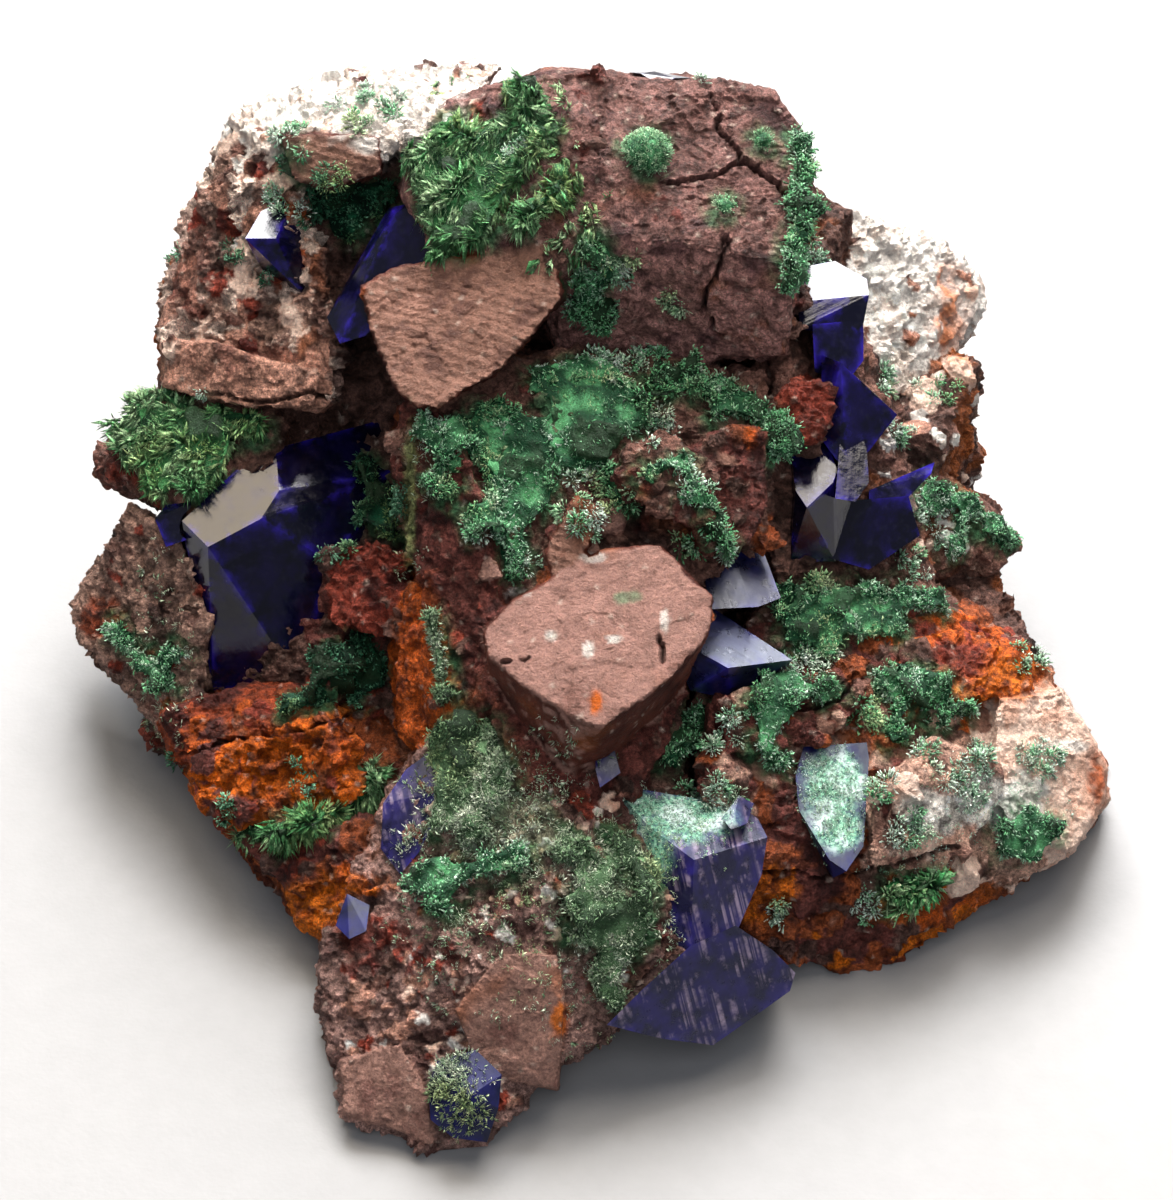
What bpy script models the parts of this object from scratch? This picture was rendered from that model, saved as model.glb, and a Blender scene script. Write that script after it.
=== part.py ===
"""Azurite and malachite on gossan matrix, hand specimen about 96 mm wide.

The show face leans back, so it is laid out on its own plane: a runs across it, u runs up it
from the table line, and w stands out of it, all in millimetres.  Lines square to the face fan
out slightly, as from a point EYE in front of the face centre.  Everything is modelled in
millimetres and scaled to metres at the end; the stone rests on its sawn base at z = 0.
"""
import math

import bmesh
import bpy
from mathutils import Matrix, Vector, noise
from mathutils.bvhtree import BVHTree

# ---- driving dimensions, millimetres and degrees ----
FACE_LEAN = 42.0      # lean of the show face's normal above the horizon
EYE = 320.0           # distance of the fan point in front of the face
FACE_MID = 39.8       # u of the face centre
SHIFT_X = 0.0         # centres the specimen on the origin
SHIFT_Y = -33.4
VOXEL = 0.68          # grain of the rock body
ROCK_TRIS = 3900      # triangles kept on the rock body
CRUST_TRIS = 7        # triangles kept on a malachite crust for each of its lumps
FIT = 0.32            # gap between stone and the mineral set in it
BASE_Z = 0.0          # height of the sawn base
SCALE = 0.001         # millimetres to metres

LEAN_SIN = math.sin(math.radians(FACE_LEAN))
LEAN_COS = math.cos(math.radians(FACE_LEAN))


# ---- layout helpers ----
def at(a, u, w):
    """Point of the show face layout in specimen millimetres."""
    fan = (EYE - w) / EYE
    v = FACE_MID + (u - FACE_MID) * fan
    x = a * fan
    y = v * LEAN_SIN - w * LEAN_COS
    z = v * LEAN_COS + w * LEAN_SIN
    return Vector((x + SHIFT_X, y + SHIFT_Y, z))


def eye_point():
    """Fan point of the face layout."""
    y = FACE_MID * LEAN_SIN - EYE * LEAN_COS
    z = FACE_MID * LEAN_COS + EYE * LEAN_SIN
    return Vector((SHIFT_X, y + SHIFT_Y, z))


def hull_mesh(points):
    """Closed convex body around the points, flat facets merged."""
    bm = bmesh.new()
    for point in points:
        bm.verts.new(point)
    result = bmesh.ops.convex_hull(bm, input=bm.verts)
    loose = [item for item in result["geom_interior"] if isinstance(item, bmesh.types.BMVert)]
    unused = [item for item in result["geom_unused"] if isinstance(item, bmesh.types.BMVert)]
    bmesh.ops.delete(bm, geom=list(set(loose + unused)), context="VERTS")
    bmesh.ops.recalc_face_normals(bm, faces=bm.faces)
    mesh = bpy.data.meshes.new("hull")
    bm.to_mesh(mesh)
    bm.free()
    return mesh


def facet(first, second, third, *outline):
    """Corners of a true flat facet: three of them placed, the outline carried to their plane."""
    rows = Matrix([(a, u, 1.0) for a, u, _ in (first, second, third)])
    depths = Vector([1.0 / (EYE - w) for _, _, w in (first, second, third)])
    plane = rows.inverted() @ depths
    corners = [first, second, third]
    for a, u in outline:
        corners.append((a, u, EYE - 1.0 / plane.dot(Vector((a, u, 1.0)))))
    return corners


def clast(depth, *front):
    """Angular block: a facet outline on the face, run back along the face lines by depth."""
    points = [at(a, u, w) for a, u, w in front]
    points += [at(a, u, w - depth) for a, u, w in front]
    return hull_mesh(points)


def block(centre, size, yaw, pitch, chamfer=0.25):
    """Angular block of the hidden sides, a box with its corners knocked off."""
    turn = Matrix.Rotation(math.radians(yaw), 3, "Z") @ Matrix.Rotation(math.radians(pitch), 3, "X")
    middle = Vector(centre) + Vector((SHIFT_X, SHIFT_Y, 0.0))
    points = []
    for sx in (-1, 1):
        for sy in (-1, 1):
            for sz in (-1, 1):
                half = Vector((sx * size[0] / 2, sy * size[1] / 2, sz * size[2] / 2))
                uneven = chamfer * (0.6 + 0.8 * noise.random())
                for axis in range(3):
                    corner = half.copy()
                    corner[axis] *= 1.0 - uneven
                    points.append(middle + turn @ corner)
    return hull_mesh(points)


def joined(meshes, name):
    """One mesh holding all the given bodies."""
    bm = bmesh.new()
    for mesh in meshes:
        bm.from_mesh(mesh)
    result = bpy.data.meshes.new(name)
    bm.to_mesh(result)
    bm.free()
    return result


def evaluated(mesh, setup):
    """Mesh after the modifiers that setup adds to a holder object."""
    holder = bpy.data.objects.new("holder", mesh)
    bpy.context.scene.collection.objects.link(holder)
    setup(holder)
    graph = bpy.context.evaluated_depsgraph_get()
    result = bpy.data.meshes.new_from_object(holder.evaluated_get(graph))
    bpy.data.objects.remove(holder)
    return result


def fused(mesh, voxel):
    """Union of overlapping bodies as one even skin."""
    def setup(holder):
        remesh = holder.modifiers.new("fuse", "REMESH")
        remesh.mode = "VOXEL"
        remesh.voxel_size = voxel
    return evaluated(mesh, setup)


def thinned(mesh, triangles):
    """Mesh reduced to about the given number of triangles."""
    count = sum(len(face.vertices) - 2 for face in mesh.polygons)

    def setup(holder):
        collapse = holder.modifiers.new("thin", "DECIMATE")
        collapse.ratio = min(1.0, triangles / count)
        collapse.use_collapse_triangulate = True
    return evaluated(mesh, setup)


def combined(mesh, cutter, operation, overlapping=False):
    """Exact Boolean of two meshes."""
    tool = bpy.data.objects.new("tool", cutter)
    bpy.context.scene.collection.objects.link(tool)

    def setup(holder):
        boolean = holder.modifiers.new("cut", "BOOLEAN")
        boolean.solver = "EXACT"
        boolean.operation = operation
        boolean.object = tool
        boolean.use_self = overlapping
    result = evaluated(mesh, setup)
    bpy.data.objects.remove(tool)
    return result


def shells(bm):
    """Separate skins of the mesh, as lists of faces."""
    unseen = set(bm.faces)
    groups = []
    while unseen:
        first = min(unseen, key=lambda face: face.index)
        unseen.remove(first)
        group = [first]
        for face in group:
            for edge in face.edges:
                for other in edge.link_faces:
                    if other in unseen:
                        unseen.remove(other)
                        group.append(other)
        groups.append(group)
    return groups


def signed_volume(faces):
    """Six times the volume enclosed by the faces."""
    total = 0.0
    for face in faces:
        first = face.verts[0].co
        for index in range(1, len(face.verts) - 1):
            total += first.dot(face.verts[index].co.cross(face.verts[index + 1].co))
    return total


def tidy(mesh, merge=0.02):
    """Largest closed body of the mesh, triangulated and facing out."""
    bm = bmesh.new()
    bm.from_mesh(mesh)
    bmesh.ops.remove_doubles(bm, verts=bm.verts, dist=merge)
    bmesh.ops.dissolve_degenerate(bm, dist=merge / 2, edges=bm.edges)
    bmesh.ops.triangulate(bm, faces=bm.faces)
    bm.faces.index_update()
    groups = shells(bm)
    groups.sort(key=lambda group: -abs(signed_volume(group)))
    spare = [face for group in groups[1:] for face in group]
    bmesh.ops.delete(bm, geom=spare, context="FACES")
    stray = [vert for vert in bm.verts if not vert.link_faces]
    bmesh.ops.delete(bm, geom=stray, context="VERTS")
    bmesh.ops.recalc_face_normals(bm, faces=bm.faces)
    if signed_volume(bm.faces) < 0.0:
        bmesh.ops.reverse_faces(bm, faces=bm.faces)
    result = bpy.data.meshes.new("body")
    bm.to_mesh(result)
    bm.free()
    return result


def grown(mesh, gap):
    """Skin of the mesh moved outwards by gap, square to its facets."""
    bm = bmesh.new()
    bm.from_mesh(mesh)
    bm.normal_update()
    moves = []
    for vert in bm.verts:
        factor = min(vert.calc_shell_factor(), 2.5)
        moves.append(vert.normal * gap * factor)
    for vert, move in zip(bm.verts, moves):
        vert.co += move
    result = bpy.data.meshes.new("grown")
    bm.to_mesh(result)
    bm.free()
    return result


def roughened(mesh, coarse, fine, seed):
    """Mesh with its skin moved in and out by uneven lumps."""
    offset = Vector((seed * 3.7, seed * 1.9, seed * 5.3))
    normals = [vert.normal.copy() for vert in mesh.vertices]
    for vert, normal in zip(mesh.vertices, normals):
        place = vert.co + offset
        lump = noise.noise(place / 7.0) * coarse
        grain = noise.fractal(place / 2.6, 0.9, 2.1, 3) * fine
        vert.co += normal * (lump + grain)
    return mesh


def bounds(mesh):
    """Corner points of the box around the mesh."""
    xs = [vert.co.x for vert in mesh.vertices]
    ys = [vert.co.y for vert in mesh.vertices]
    zs = [vert.co.z for vert in mesh.vertices]
    return (min(xs), min(ys), min(zs)), (max(xs), max(ys), max(zs))


def near(first, second, margin=0.5):
    """Whether the boxes around two meshes come within margin."""
    low_a, high_a = bounds(first)
    low_b, high_b = bounds(second)
    for axis in range(3):
        if low_a[axis] > high_b[axis] + margin or low_b[axis] > high_a[axis] + margin:
            return False
    return True


# ---- rock ----
def rock_top():
    """Dark square-shouldered block, its crown and the tan plate leaning on it."""
    return [
        clast(20, *facet((-2.5, 73.5, 2), (18.8, 69, 2.6), (7, 86, -3.6),
                         (5, 73.2), (-9, 84), (-3.5, 86.6), (12, 85.6), (16.5, 84.6),
                         (19.2, 80.5), (19.6, 76)),
              *facet((-2.5, 73.5, 2), (18.8, 69, 2.6), (8, 61, -8.5), (-2.5, 61), (17.5, 61.5))),
        clast(20, (-16, 80.5, -5), (-12, 84, -5), (-3.5, 86.5, -4), (1, 82.5, 1), (1, 72.5, 1),
              (-2.5, 66.5, -4), (-7.5, 71, 1), (-14, 71.5, -2), (-16, 76, -4)),
        clast(7, *facet((-20, 67.5, -0.5), (-3, 71.5, 1), (-13, 57, 4.6),
                        (-16.5, 69.3), (-10.5, 70), (-2, 66.5), (-6, 62), (-8, 60), (-15, 56.8),
                        (-17, 58.5), (-19, 63.5))),
    ]


def rock_centre():
    """Septum of rock, the sunken field beside it and the pinkish slab in front."""
    return [
        clast(16, (-16.5, 57, 0), (-13, 56.5, 2), (-10.5, 53, 3), (-8, 43.5, 4), (-7, 36.5, 5),
              (-7.5, 31, 5), (-11.5, 27.5, 2), (-14, 31, 0), (-14.5, 40, 0), (-14, 47, -1),
              (-15.5, 53, -1)),
        clast(12, (-16.5, 40, -2), (-14, 43.5, 0), (-13, 36.5, 2), (-11, 31, 3), (-11.5, 26.5, 1),
              (-14, 25, 0), (-16.5, 28.5, -2), (-17, 32, -3)),
        clast(20, (-14.5, 56.5, 0), (-7.5, 61, -4), (1, 62, -6), (15.5, 60, -6), (16.5, 54, -4),
              (16, 45, -2), (10, 41.5, 0), (-2.5, 40.5, 2), (-8.5, 40, 2), (-12, 51.5, 1)),
        clast(8, (8.5, 52.5, 2), (13, 55, 1), (16, 54.5, 0), (16, 48.5, 1), (14, 44.5, 2), (10, 44, 3)),
        clast(8, (3, 53, 3), (6.5, 54.5, 2), (10.5, 52, 3), (10, 47, 4), (6, 47, 4), (3.5, 49.5, 4)),
        clast(6, (-3.5, 44, 5), (-1, 49, 4.5), (1, 48, 4.5), (1.5, 47, 5), (-0.5, 43.5, 6),
              (-2, 41, 6), (-3, 42, 5.5)),
        clast(10, *facet((-9, 37, 8), (6.5, 44.5, 5.5), (1.5, 28.6, 12.2),
                         (-6.5, 39.8), (1.5, 44.2), (7.5, 42.6), (11.2, 40), (10.8, 37),
                         (7.6, 33), (-1, 29.4), (-6, 32.6), (-8.8, 35)),
              (-8.5, 33, 3), (-5, 27.5, 4), (-2, 23.5, 4), (1, 24.5, 4), (8.6, 32, 1),
              (10.8, 37.5, 1)),
        clast(14, (-8.5, 32, 5), (-6, 25.5, 4), (-4, 17.5, 7), (1, 17, 7), (4.5, 22, 4),
              (3, 25.5, 3), (9, 32, 0)),
    ]


def rock_foot():
    """Rounded lower mass and the foot that reaches the table."""
    return [
        clast(18, (-13, 29.5, 0), (-6, 30.5, 1), (-2.5, 23, 4), (2, 23, 4), (9, 17.5, 4),
              (10, 13.5, 8), (8.5, 8, 9), (1, 1, 8), (-2.5, -1, 9), (-7, -3.5, 9), (-11, 0, 10),
              (-14.5, 8, 9), (-21.5, 10.5, 3), (-21.5, 13.5, 2), (-17.5, 16, 2), (-17, 23, 0),
              (-2.5, 15, 11.5)),
        clast(30, (-23, 10.5, 3), (-20, 11, 4), (-13, 8, 9), (-2.5, 8, 10), (-2.5, 0, 9.5),
              (-7, -4.5, 9.8), (-8.5, -8.5, 10), (-14, -9, 10), (-21.5, -5.5, 8), (-22, -1, 7),
              (-23.5, 4.5, 5)),
        clast(6, (-11.5, 3.5, 11), (-7.5, 8.5, 12), (-2.5, 8.5, 12), (-2, 3.5, 12), (-4, -1, 11.5),
              (-2.5, -3.5, 10), (-8.5, -2.5, 11), (-10.5, 0, 11)),
        clast(8, (-22, -1, 8.5), (-16.5, 0.5, 10), (-14, -4.5, 10.7), (-13.5, -8.5, 10.4),
              (-21.5, -5.5, 9)),
    ]


def rock_terrace():
    """Broad terrace low on the right, with its raised top, end, lip and bar."""
    return [
        clast(12, (11.5, 32, -2), (15.5, 40, -8), (27.5, 42, -16), (31, 40, -18), (39, 35.5, -18),
              (42, 31, -17), (45.5, 25.5, -15), (46, 22, -14), (42.5, 17.5, -9), (35.5, 15.5, -5),
              (24, 15.5, -1), (13, 16, 2), (10, 25.5, 2), (13.5, 10, -3), (19, 8.5, -4),
              (23.5, 6.5, -7), (27.5, 8, -8), (35.5, 14.5, -9)),
        clast(7, (28, 35.5, -11), (32, 37, -12), (39, 35.5, -14), (39.5, 32, -12), (33, 31, -9),
              (27.5, 32, -9)),
        clast(7, (36.5, 31, -9), (42, 32, -12), (46, 25, -12), (45.5, 22, -11), (43, 17.5, -8),
              (38.5, 18.5, -6), (35.5, 23, -6)),
        clast(6, (25, 22, 2), (30.5, 27.5, -3), (36.5, 25.5, -5), (36.5, 22, -4), (31.5, 16, -2),
              (25, 16, 1)),
        clast(7, (11.5, 31, 1), (24, 34, -5), (24.5, 31, -4), (20.5, 27.5, -1), (12.5, 26, 2)),
    ]


def rock_right():
    """Ledges behind the terrace, stepping away at the right."""
    return [
        clast(9, (26, 50.5, -22), (30.5, 51.5, -25), (35.5, 48.5, -29), (38.5, 44.5, -29),
              (35.5, 42.5, -28), (30.5, 42, -24), (26, 43.5, -20)),
        clast(12, (19, 73, -25), (23.5, 74, -28), (30.5, 71.5, -32), (34.8, 68.5, -34),
              (34.5, 64.5, -33), (32.5, 61, -32), (30.5, 58.5, -31), (27.5, 55, -29),
              (25, 51.5, -26), (19, 59.5, -20)),
        clast(8, (27.5, 57, -29), (31, 60, -31), (34, 53, -34), (31.5, 54, -32)),
        clast(16, (16.5, 60, -10), (19, 70, -16), (24, 63.5, -19), (27.5, 56, -21), (27.5, 47, -18),
              (30.5, 40.5, -17), (17, 40, -8), (16, 50.5, -6)),
        clast(8, (17, 57.5, -4), (19, 59.5, -5), (21.5, 59, -6), (21.5, 56, -5), (20, 54, -4),
              (17.5, 54, -3)),
    ]


def rock_left():
    """Left shoulder, its shelf, the rim below it and the dark hollow between."""
    return [
        clast(14, (-30.5, 83, -18), (-22.5, 86.5, -20), (-14.5, 87.5, -20), (-7.5, 87.5, -18),
              (-10.5, 84, -8), (-16.5, 80.5, -8), (-18.5, 78.5, -9), (-26, 80.5, -11),
              (-31, 78, -15)),
        clast(18, (-31, 82.5, -16), (-26, 79.5, -12), (-25.5, 71, -12), (-21.5, 63.5, -10),
              (-22, 57.5, -10), (-23.5, 56.5, -11), (-37.5, 59, -18), (-37.5, 66.5, -20),
              (-34.5, 71, -20), (-34, 76, -19)),
        clast(8, (-37.5, 62.5, -15), (-33, 62.5, -12), (-23.5, 60, -8), (-24, 57, -8),
              (-30.5, 57, -11), (-37.5, 58.5, -15)),
        clast(16, (-26, 79.5, -17), (-15.5, 79.5, -15), (-14.5, 71, -14), (-16.5, 56.5, -16),
              (-22.5, 56.5, -18), (-25.5, 66.5, -19)),
        clast(14, (-40.5, 54, -20), (-38.5, 58, -18), (-28, 57.5, -14), (-27, 55, -14),
              (-28, 50.5, -13), (-34, 47, -13), (-38.5, 48.5, -17), (-42.5, 50.5, -21),
              (-43, 52.5, -21)),
        clast(12, (-40, 48, -17), (-36, 45, -13), (-34, 40, -12), (-34, 32.5, -14),
              (-35, 25.5, -14), (-38.5, 31, -17), (-44.5, 36.5, -21), (-45, 39, -21),
              (-41, 40, -18), (-38.5, 43.5, -17)),
        clast(14, (-36, 43.5, -19), (-25.5, 54, -18), (-16.5, 54, -15), (-15.5, 40, -11),
              (-16.5, 28.5, -9), (-25.5, 28.5, -14), (-34, 30, -18)),
        clast(8, (-23, 43.5, -8), (-19, 45, -6), (-16, 43.5, -5), (-16.5, 39, -4), (-18, 37.5, -4),
              (-22.5, 38, -6)),
        clast(6, (-24.5, 36.5, -8), (-21.5, 37, -7), (-22, 31, -7), (-24, 32, -8)),
    ]


def rock_side():
    """Ochre-stained blocks stacked down the lower left."""
    return [
        clast(16, (-37.5, 31, -15), (-16.5, 32, -11), (-13, 24, -5), (-16.5, 13.5, -4),
              (-22.5, 10, -6), (-25.5, 11.5, -9), (-33, 21, -13)),
        clast(6, (-37.5, 30, -12), (-30.5, 32, -12), (-22.5, 32.5, -10), (-22.5, 29.5, -8),
              (-34, 25, -9), (-36.5, 26.5, -12)),
        clast(9, (-35, 25, -10), (-31.5, 27, -7), (-21.5, 30, -4), (-19.5, 23, -4),
              (-26, 19.5, -5), (-31.5, 20.5, -7), (-34, 22, -9)),
        clast(8, (-30.5, 18.5, -8), (-19, 20.5, -3), (-18, 16, -1), (-26, 14, -4)),
        clast(8, (-26.5, 14, -6), (-18, 16.5, -1), (-17.5, 13.5, -1), (-22.5, 10, -3),
              (-25.5, 11, -5)),
    ]


def rock_core():
    """Bulk of the stone behind the show face."""
    return [
        clast(70, (-30, 80, -28), (-9, 84, -20), (17, 82, -14), (19, 64, -17), (-35, 60, -30),
              (-14, 62, -22)),
        clast(70, (-37, 54, -32), (-15, 60, -20), (-12, 59, -14), (17, 60, -16), (17, 41, -10),
              (-12, 30, -8), (-16, 30, -14), (-36, 34, -28)),
        clast(70, (-34, 30, -22), (-14, 32, -8), (8, 32, -4), (10, 14, 2), (1, 3, 3), (-8, -3, 4),
              (-20, -2, 2), (-22, 10, -4), (-31, 22, -18)),
        clast(60, (16, 41, -14), (38, 33, -24), (42, 24, -20), (33, 16, -14), (14, 17, -6),
              (9, 30, -4)),
        clast(60, (16, 66, -24), (26, 62, -32), (29, 50, -28), (33, 44, -32), (30, 38, -24),
              (15, 40, -14)),
    ]


def rock_back():
    """Uneven ledges of the hidden back and sides."""
    return [
        block((-24, 68, 38), (20, 13, 20), 14, -14),
        block((-2, 70, 39), (22, 13, 16), -8, -16),
        block((16, 67, 33), (16, 12, 18), -22, -6),
        block((-14, 72, 20), (20, 12, 18), 6, 8),
        block((10, 72, 17), (24, 12, 14), -5, -4),
        block((28, 64, 16), (18, 14, 20), -24, 8),
        block((-32, 60, 22), (14, 18, 20), 24, 4),
        block((-6, 71, 6), (30, 11, 10), 3, 6),
        block((22, 66, 5), (20, 14, 10), -16, 0),
        block((-28, 64, 6), (18, 14, 12), 22, 0),
        block((-34, 46, 8), (12, 22, 14), -10, 8),
        block((34, 42, 7), (14, 20, 10), 12, 0),
        block((1, 75, 28), (13, 8, 12), 20, 10),
        block((-20, 75, 31), (10, 7, 10), -20, 0),
    ]


def envelope():
    """Planes that bound the hidden back, sides and underside: point and outward normal."""
    return [
        ((0, 77.5, 20), (0, 1, 0.06)),
        ((0, 76, 50), (0, 1, 0.6)),
        ((-8, 71, 30), (-0.22, 1, 0.12)),
        ((14, 70, 24), (0.3, 1, 0.1)),
        ((-30, 68, 20), (-0.75, 1, 0.15)),
        ((30, 71, 12), (0.7, 1, 0.2)),
        ((36, 62, 16), (1, 0.45, 0.35)),
        ((-39, 50, 20), (-1, 0.25, -0.2)),
        ((0, 70, 4), (0, 0.75, -1)),
        ((-33, 42, 3), (-1, 0.1, -0.8)),
        ((38, 40, 3), (1, 0.05, -0.9)),
        ((-22, 14, 2), (-0.7, -0.8, -0.8)),
        ((20, 12, 2), (0.5, -1, -0.9)),
        ((0, 0, -3), (0, 0, -1)),
    ]


def clipped(mesh, planes):
    """Convex body trimmed by planes given as point and outward normal."""
    bm = bmesh.new()
    bm.from_mesh(mesh)
    for point, normal in planes:
        place = Vector(point) + Vector((SHIFT_X, SHIFT_Y, 0.0))
        geom = bm.verts[:] + bm.edges[:] + bm.faces[:]
        bmesh.ops.bisect_plane(bm, geom=geom, plane_co=place, plane_no=Vector(normal),
                               clear_outer=True)
    points = [vert.co.copy() for vert in bm.verts]
    bm.free()
    return hull_mesh(points)


def rock_body():
    """The matrix as one stone before its minerals are set in."""
    planes = envelope()
    bodies = [clipped(mesh, planes) for mesh in rock_core()]
    bodies += [clipped(mesh, planes[:2]) for mesh in rock_right() + rock_left() + rock_back()]
    bodies += rock_top() + rock_centre() + rock_foot() + rock_terrace() + rock_side()
    skin = fused(joined(bodies, "clasts"), VOXEL)
    skin = tidy(skin)
    skin = roughened(skin, 0.4, 0.3, 1)
    skin = thinned(skin, ROCK_TRIS)
    return tidy(combined(skin, block_below(BASE_Z), "DIFFERENCE"))


def block_below(top):
    """Everything under the height top."""
    points = []
    for x in (-120, 120):
        for y in (-120, 160):
            for z in (-40, top):
                points.append(Vector((x, y, z)))
    return hull_mesh(points)


# ---- azurite crystals ----
def crystal(*groups):
    """Flat-faced crystal around groups of corners."""
    return hull_mesh([at(a, u, w) for group in groups for a, u, w in group])


def cluster_right():
    """Intergrown crystals in the gap right of the dark block."""
    return [
        crystal(facet((18.8, 69.2, -14.5), (24.8, 68.2, -13.8), (18.8, 66.2, -11.2),
                      (22, 69.8), (25, 66.8)),
                [(24.5, 64.2, -12), (22.5, 63.2, -11.5), (18.8, 63.8, -10.5), (19, 63.8, -22),
                 (24.5, 64.5, -24), (19, 68.5, -22), (24.2, 67.8, -24)]),
        crystal([(20, 64.2, -9.5), (24.5, 64.6, -12.5), (24.5, 61, -11.5), (23, 59, -10.5),
                 (20.2, 60, -9.5), (20.2, 63.8, -20), (24.2, 63.8, -21), (23.2, 59.2, -20),
                 (20.5, 60.2, -20)]),
        crystal(facet((22.5, 60.8, -7.5), (27.5, 56.2, -9.5), (23, 51, -7.5), (25, 53)),
                [(20.8, 61.5, -9), (20.8, 54, -8), (22.5, 61, -19), (26.8, 56.2, -17),
                 (24.5, 53, -18), (20.8, 54.8, -18)]),
        crystal(facet((18, 53.8, -8.8), (21.8, 50.2, -7), (19.5, 48, -5.5),
                      (21, 54.8), (22.2, 51.2), (18.5, 49.5)),
                [(18, 43.2, -9), (22, 43.2, -10), (23.8, 47.8, -11), (18, 53.5, -18),
                 (22.5, 51.2, -20), (19, 44.2, -20), (22.5, 44.2, -21)]),
        crystal(facet((22.8, 57.8, -9.2), (25, 50.2, -7), (22, 48.8, -5.8),
                      (24, 55.8), (24.8, 53), (23.8, 48.5), (22.5, 52.8)),
                [(23.2, 57, -18), (25, 51.2, -20), (22.5, 48.8, -18)]),
        crystal([(22, 48.5, -9.5), (28.5, 49, -12.5), (29.5, 45.5, -13), (25, 42.5, -11),
                 (21.5, 43.5, -9.5), (23, 48, -20), (28, 47.8, -20), (27, 43.5, -20),
                 (22, 44.2, -20)]),
        crystal([(25, 49.5, -12.5), (30.8, 52, -17), (30.5, 51, -16), (28.2, 48.6, -13.5),
                 (25, 47.8, -12), (25, 49, -22), (28.2, 50, -22)]),
    ]


def middle_pair():
    """Two dark crystals between the slab and the terrace."""
    return [
        crystal(facet((12, 43.8, -3.5), (17.2, 40, -3), (11, 39, -0.5),
                      (10.5, 41.5), (15.5, 44.5), (15.2, 39.2)),
                [(11, 42, -14), (15.8, 43.8, -15), (17, 39.8, -13), (11.2, 39, -12)]),
        crystal(facet((11, 39.2, -3), (18.2, 34.5, -1), (12.5, 33.8, 2), (10, 35.2)),
                [(16.8, 32.5, -4), (12.8, 31, -3), (9.2, 31.8, -2), (8.2, 33.8, -1),
                 (10, 39.2, -13), (17.2, 34.2, -11), (13.5, 31, -12)]),
    ]


def left_giant():
    """Largest crystal, its bright facet facing up and out of the left hollow."""
    return [crystal(facet((-27.5, 53.2, -14), (-27.2, 49.5, -11.5), (-33.5, 44.5, -9.8),
                          (-28.8, 47), (-35.8, 46.8), (-30.8, 51.5)),
                    [(-16.5, 56.2, -19), (-16.2, 51.2, -15.5), (-22.8, 43.2, -12.5),
                     (-25.2, 32.2, -15.5), (-33, 31.8, -16.5), (-34.8, 39.8, -15.5),
                     (-30.8, 51.2, -26), (-16.5, 55.8, -24), (-25.2, 32.8, -26),
                     (-34.2, 39.8, -26)])]


def lower_right():
    """Two large intergrown wedges under the slab and a small one beside them."""
    return [
        crystal(facet((2.2, 23.5, 3), (9.5, 16.8, 9.8), (16, 18.8, 4.5),
                      (12.2, 21.8), (15, 20.8), (5.5, 19.8)),
                facet((9.5, 16.8, 9.8), (16, 18.8, 4.5), (9.2, 8.5, 9),
                      (15.5, 15.5), (13.2, 10.2)),
                [(6.8, 8.8, 8.4), (3, 22, -8), (14.5, 19.5, -9), (12.8, 11.5, -7),
                 (7.5, 9.8, -6)]),
        crystal(facet((9.2, 9.2, 10), (18.5, 6.8, 5), (6.5, 1, 8.2),
                      (13.2, 11), (16.5, 8.8), (18, 5.2), (15.2, 3.2), (1.8, 2.2), (4.8, 5.2)),
                [(11.2, 0.4, 5.5), (10, 8, -6), (17, 5.8, -4), (4.8, 2.8, -2),
                 (10.5, 1, -2)]),
        crystal([(12, 20.5, 6.2), (13.5, 22.5, 5.2), (14.8, 21.8, 5), (14.2, 20, 6.2),
                 (12.8, 19.5, 7), (12.5, 20.8, -2), (14.2, 21.2, -2), (13.5, 20, -2)]),
    ]


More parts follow.
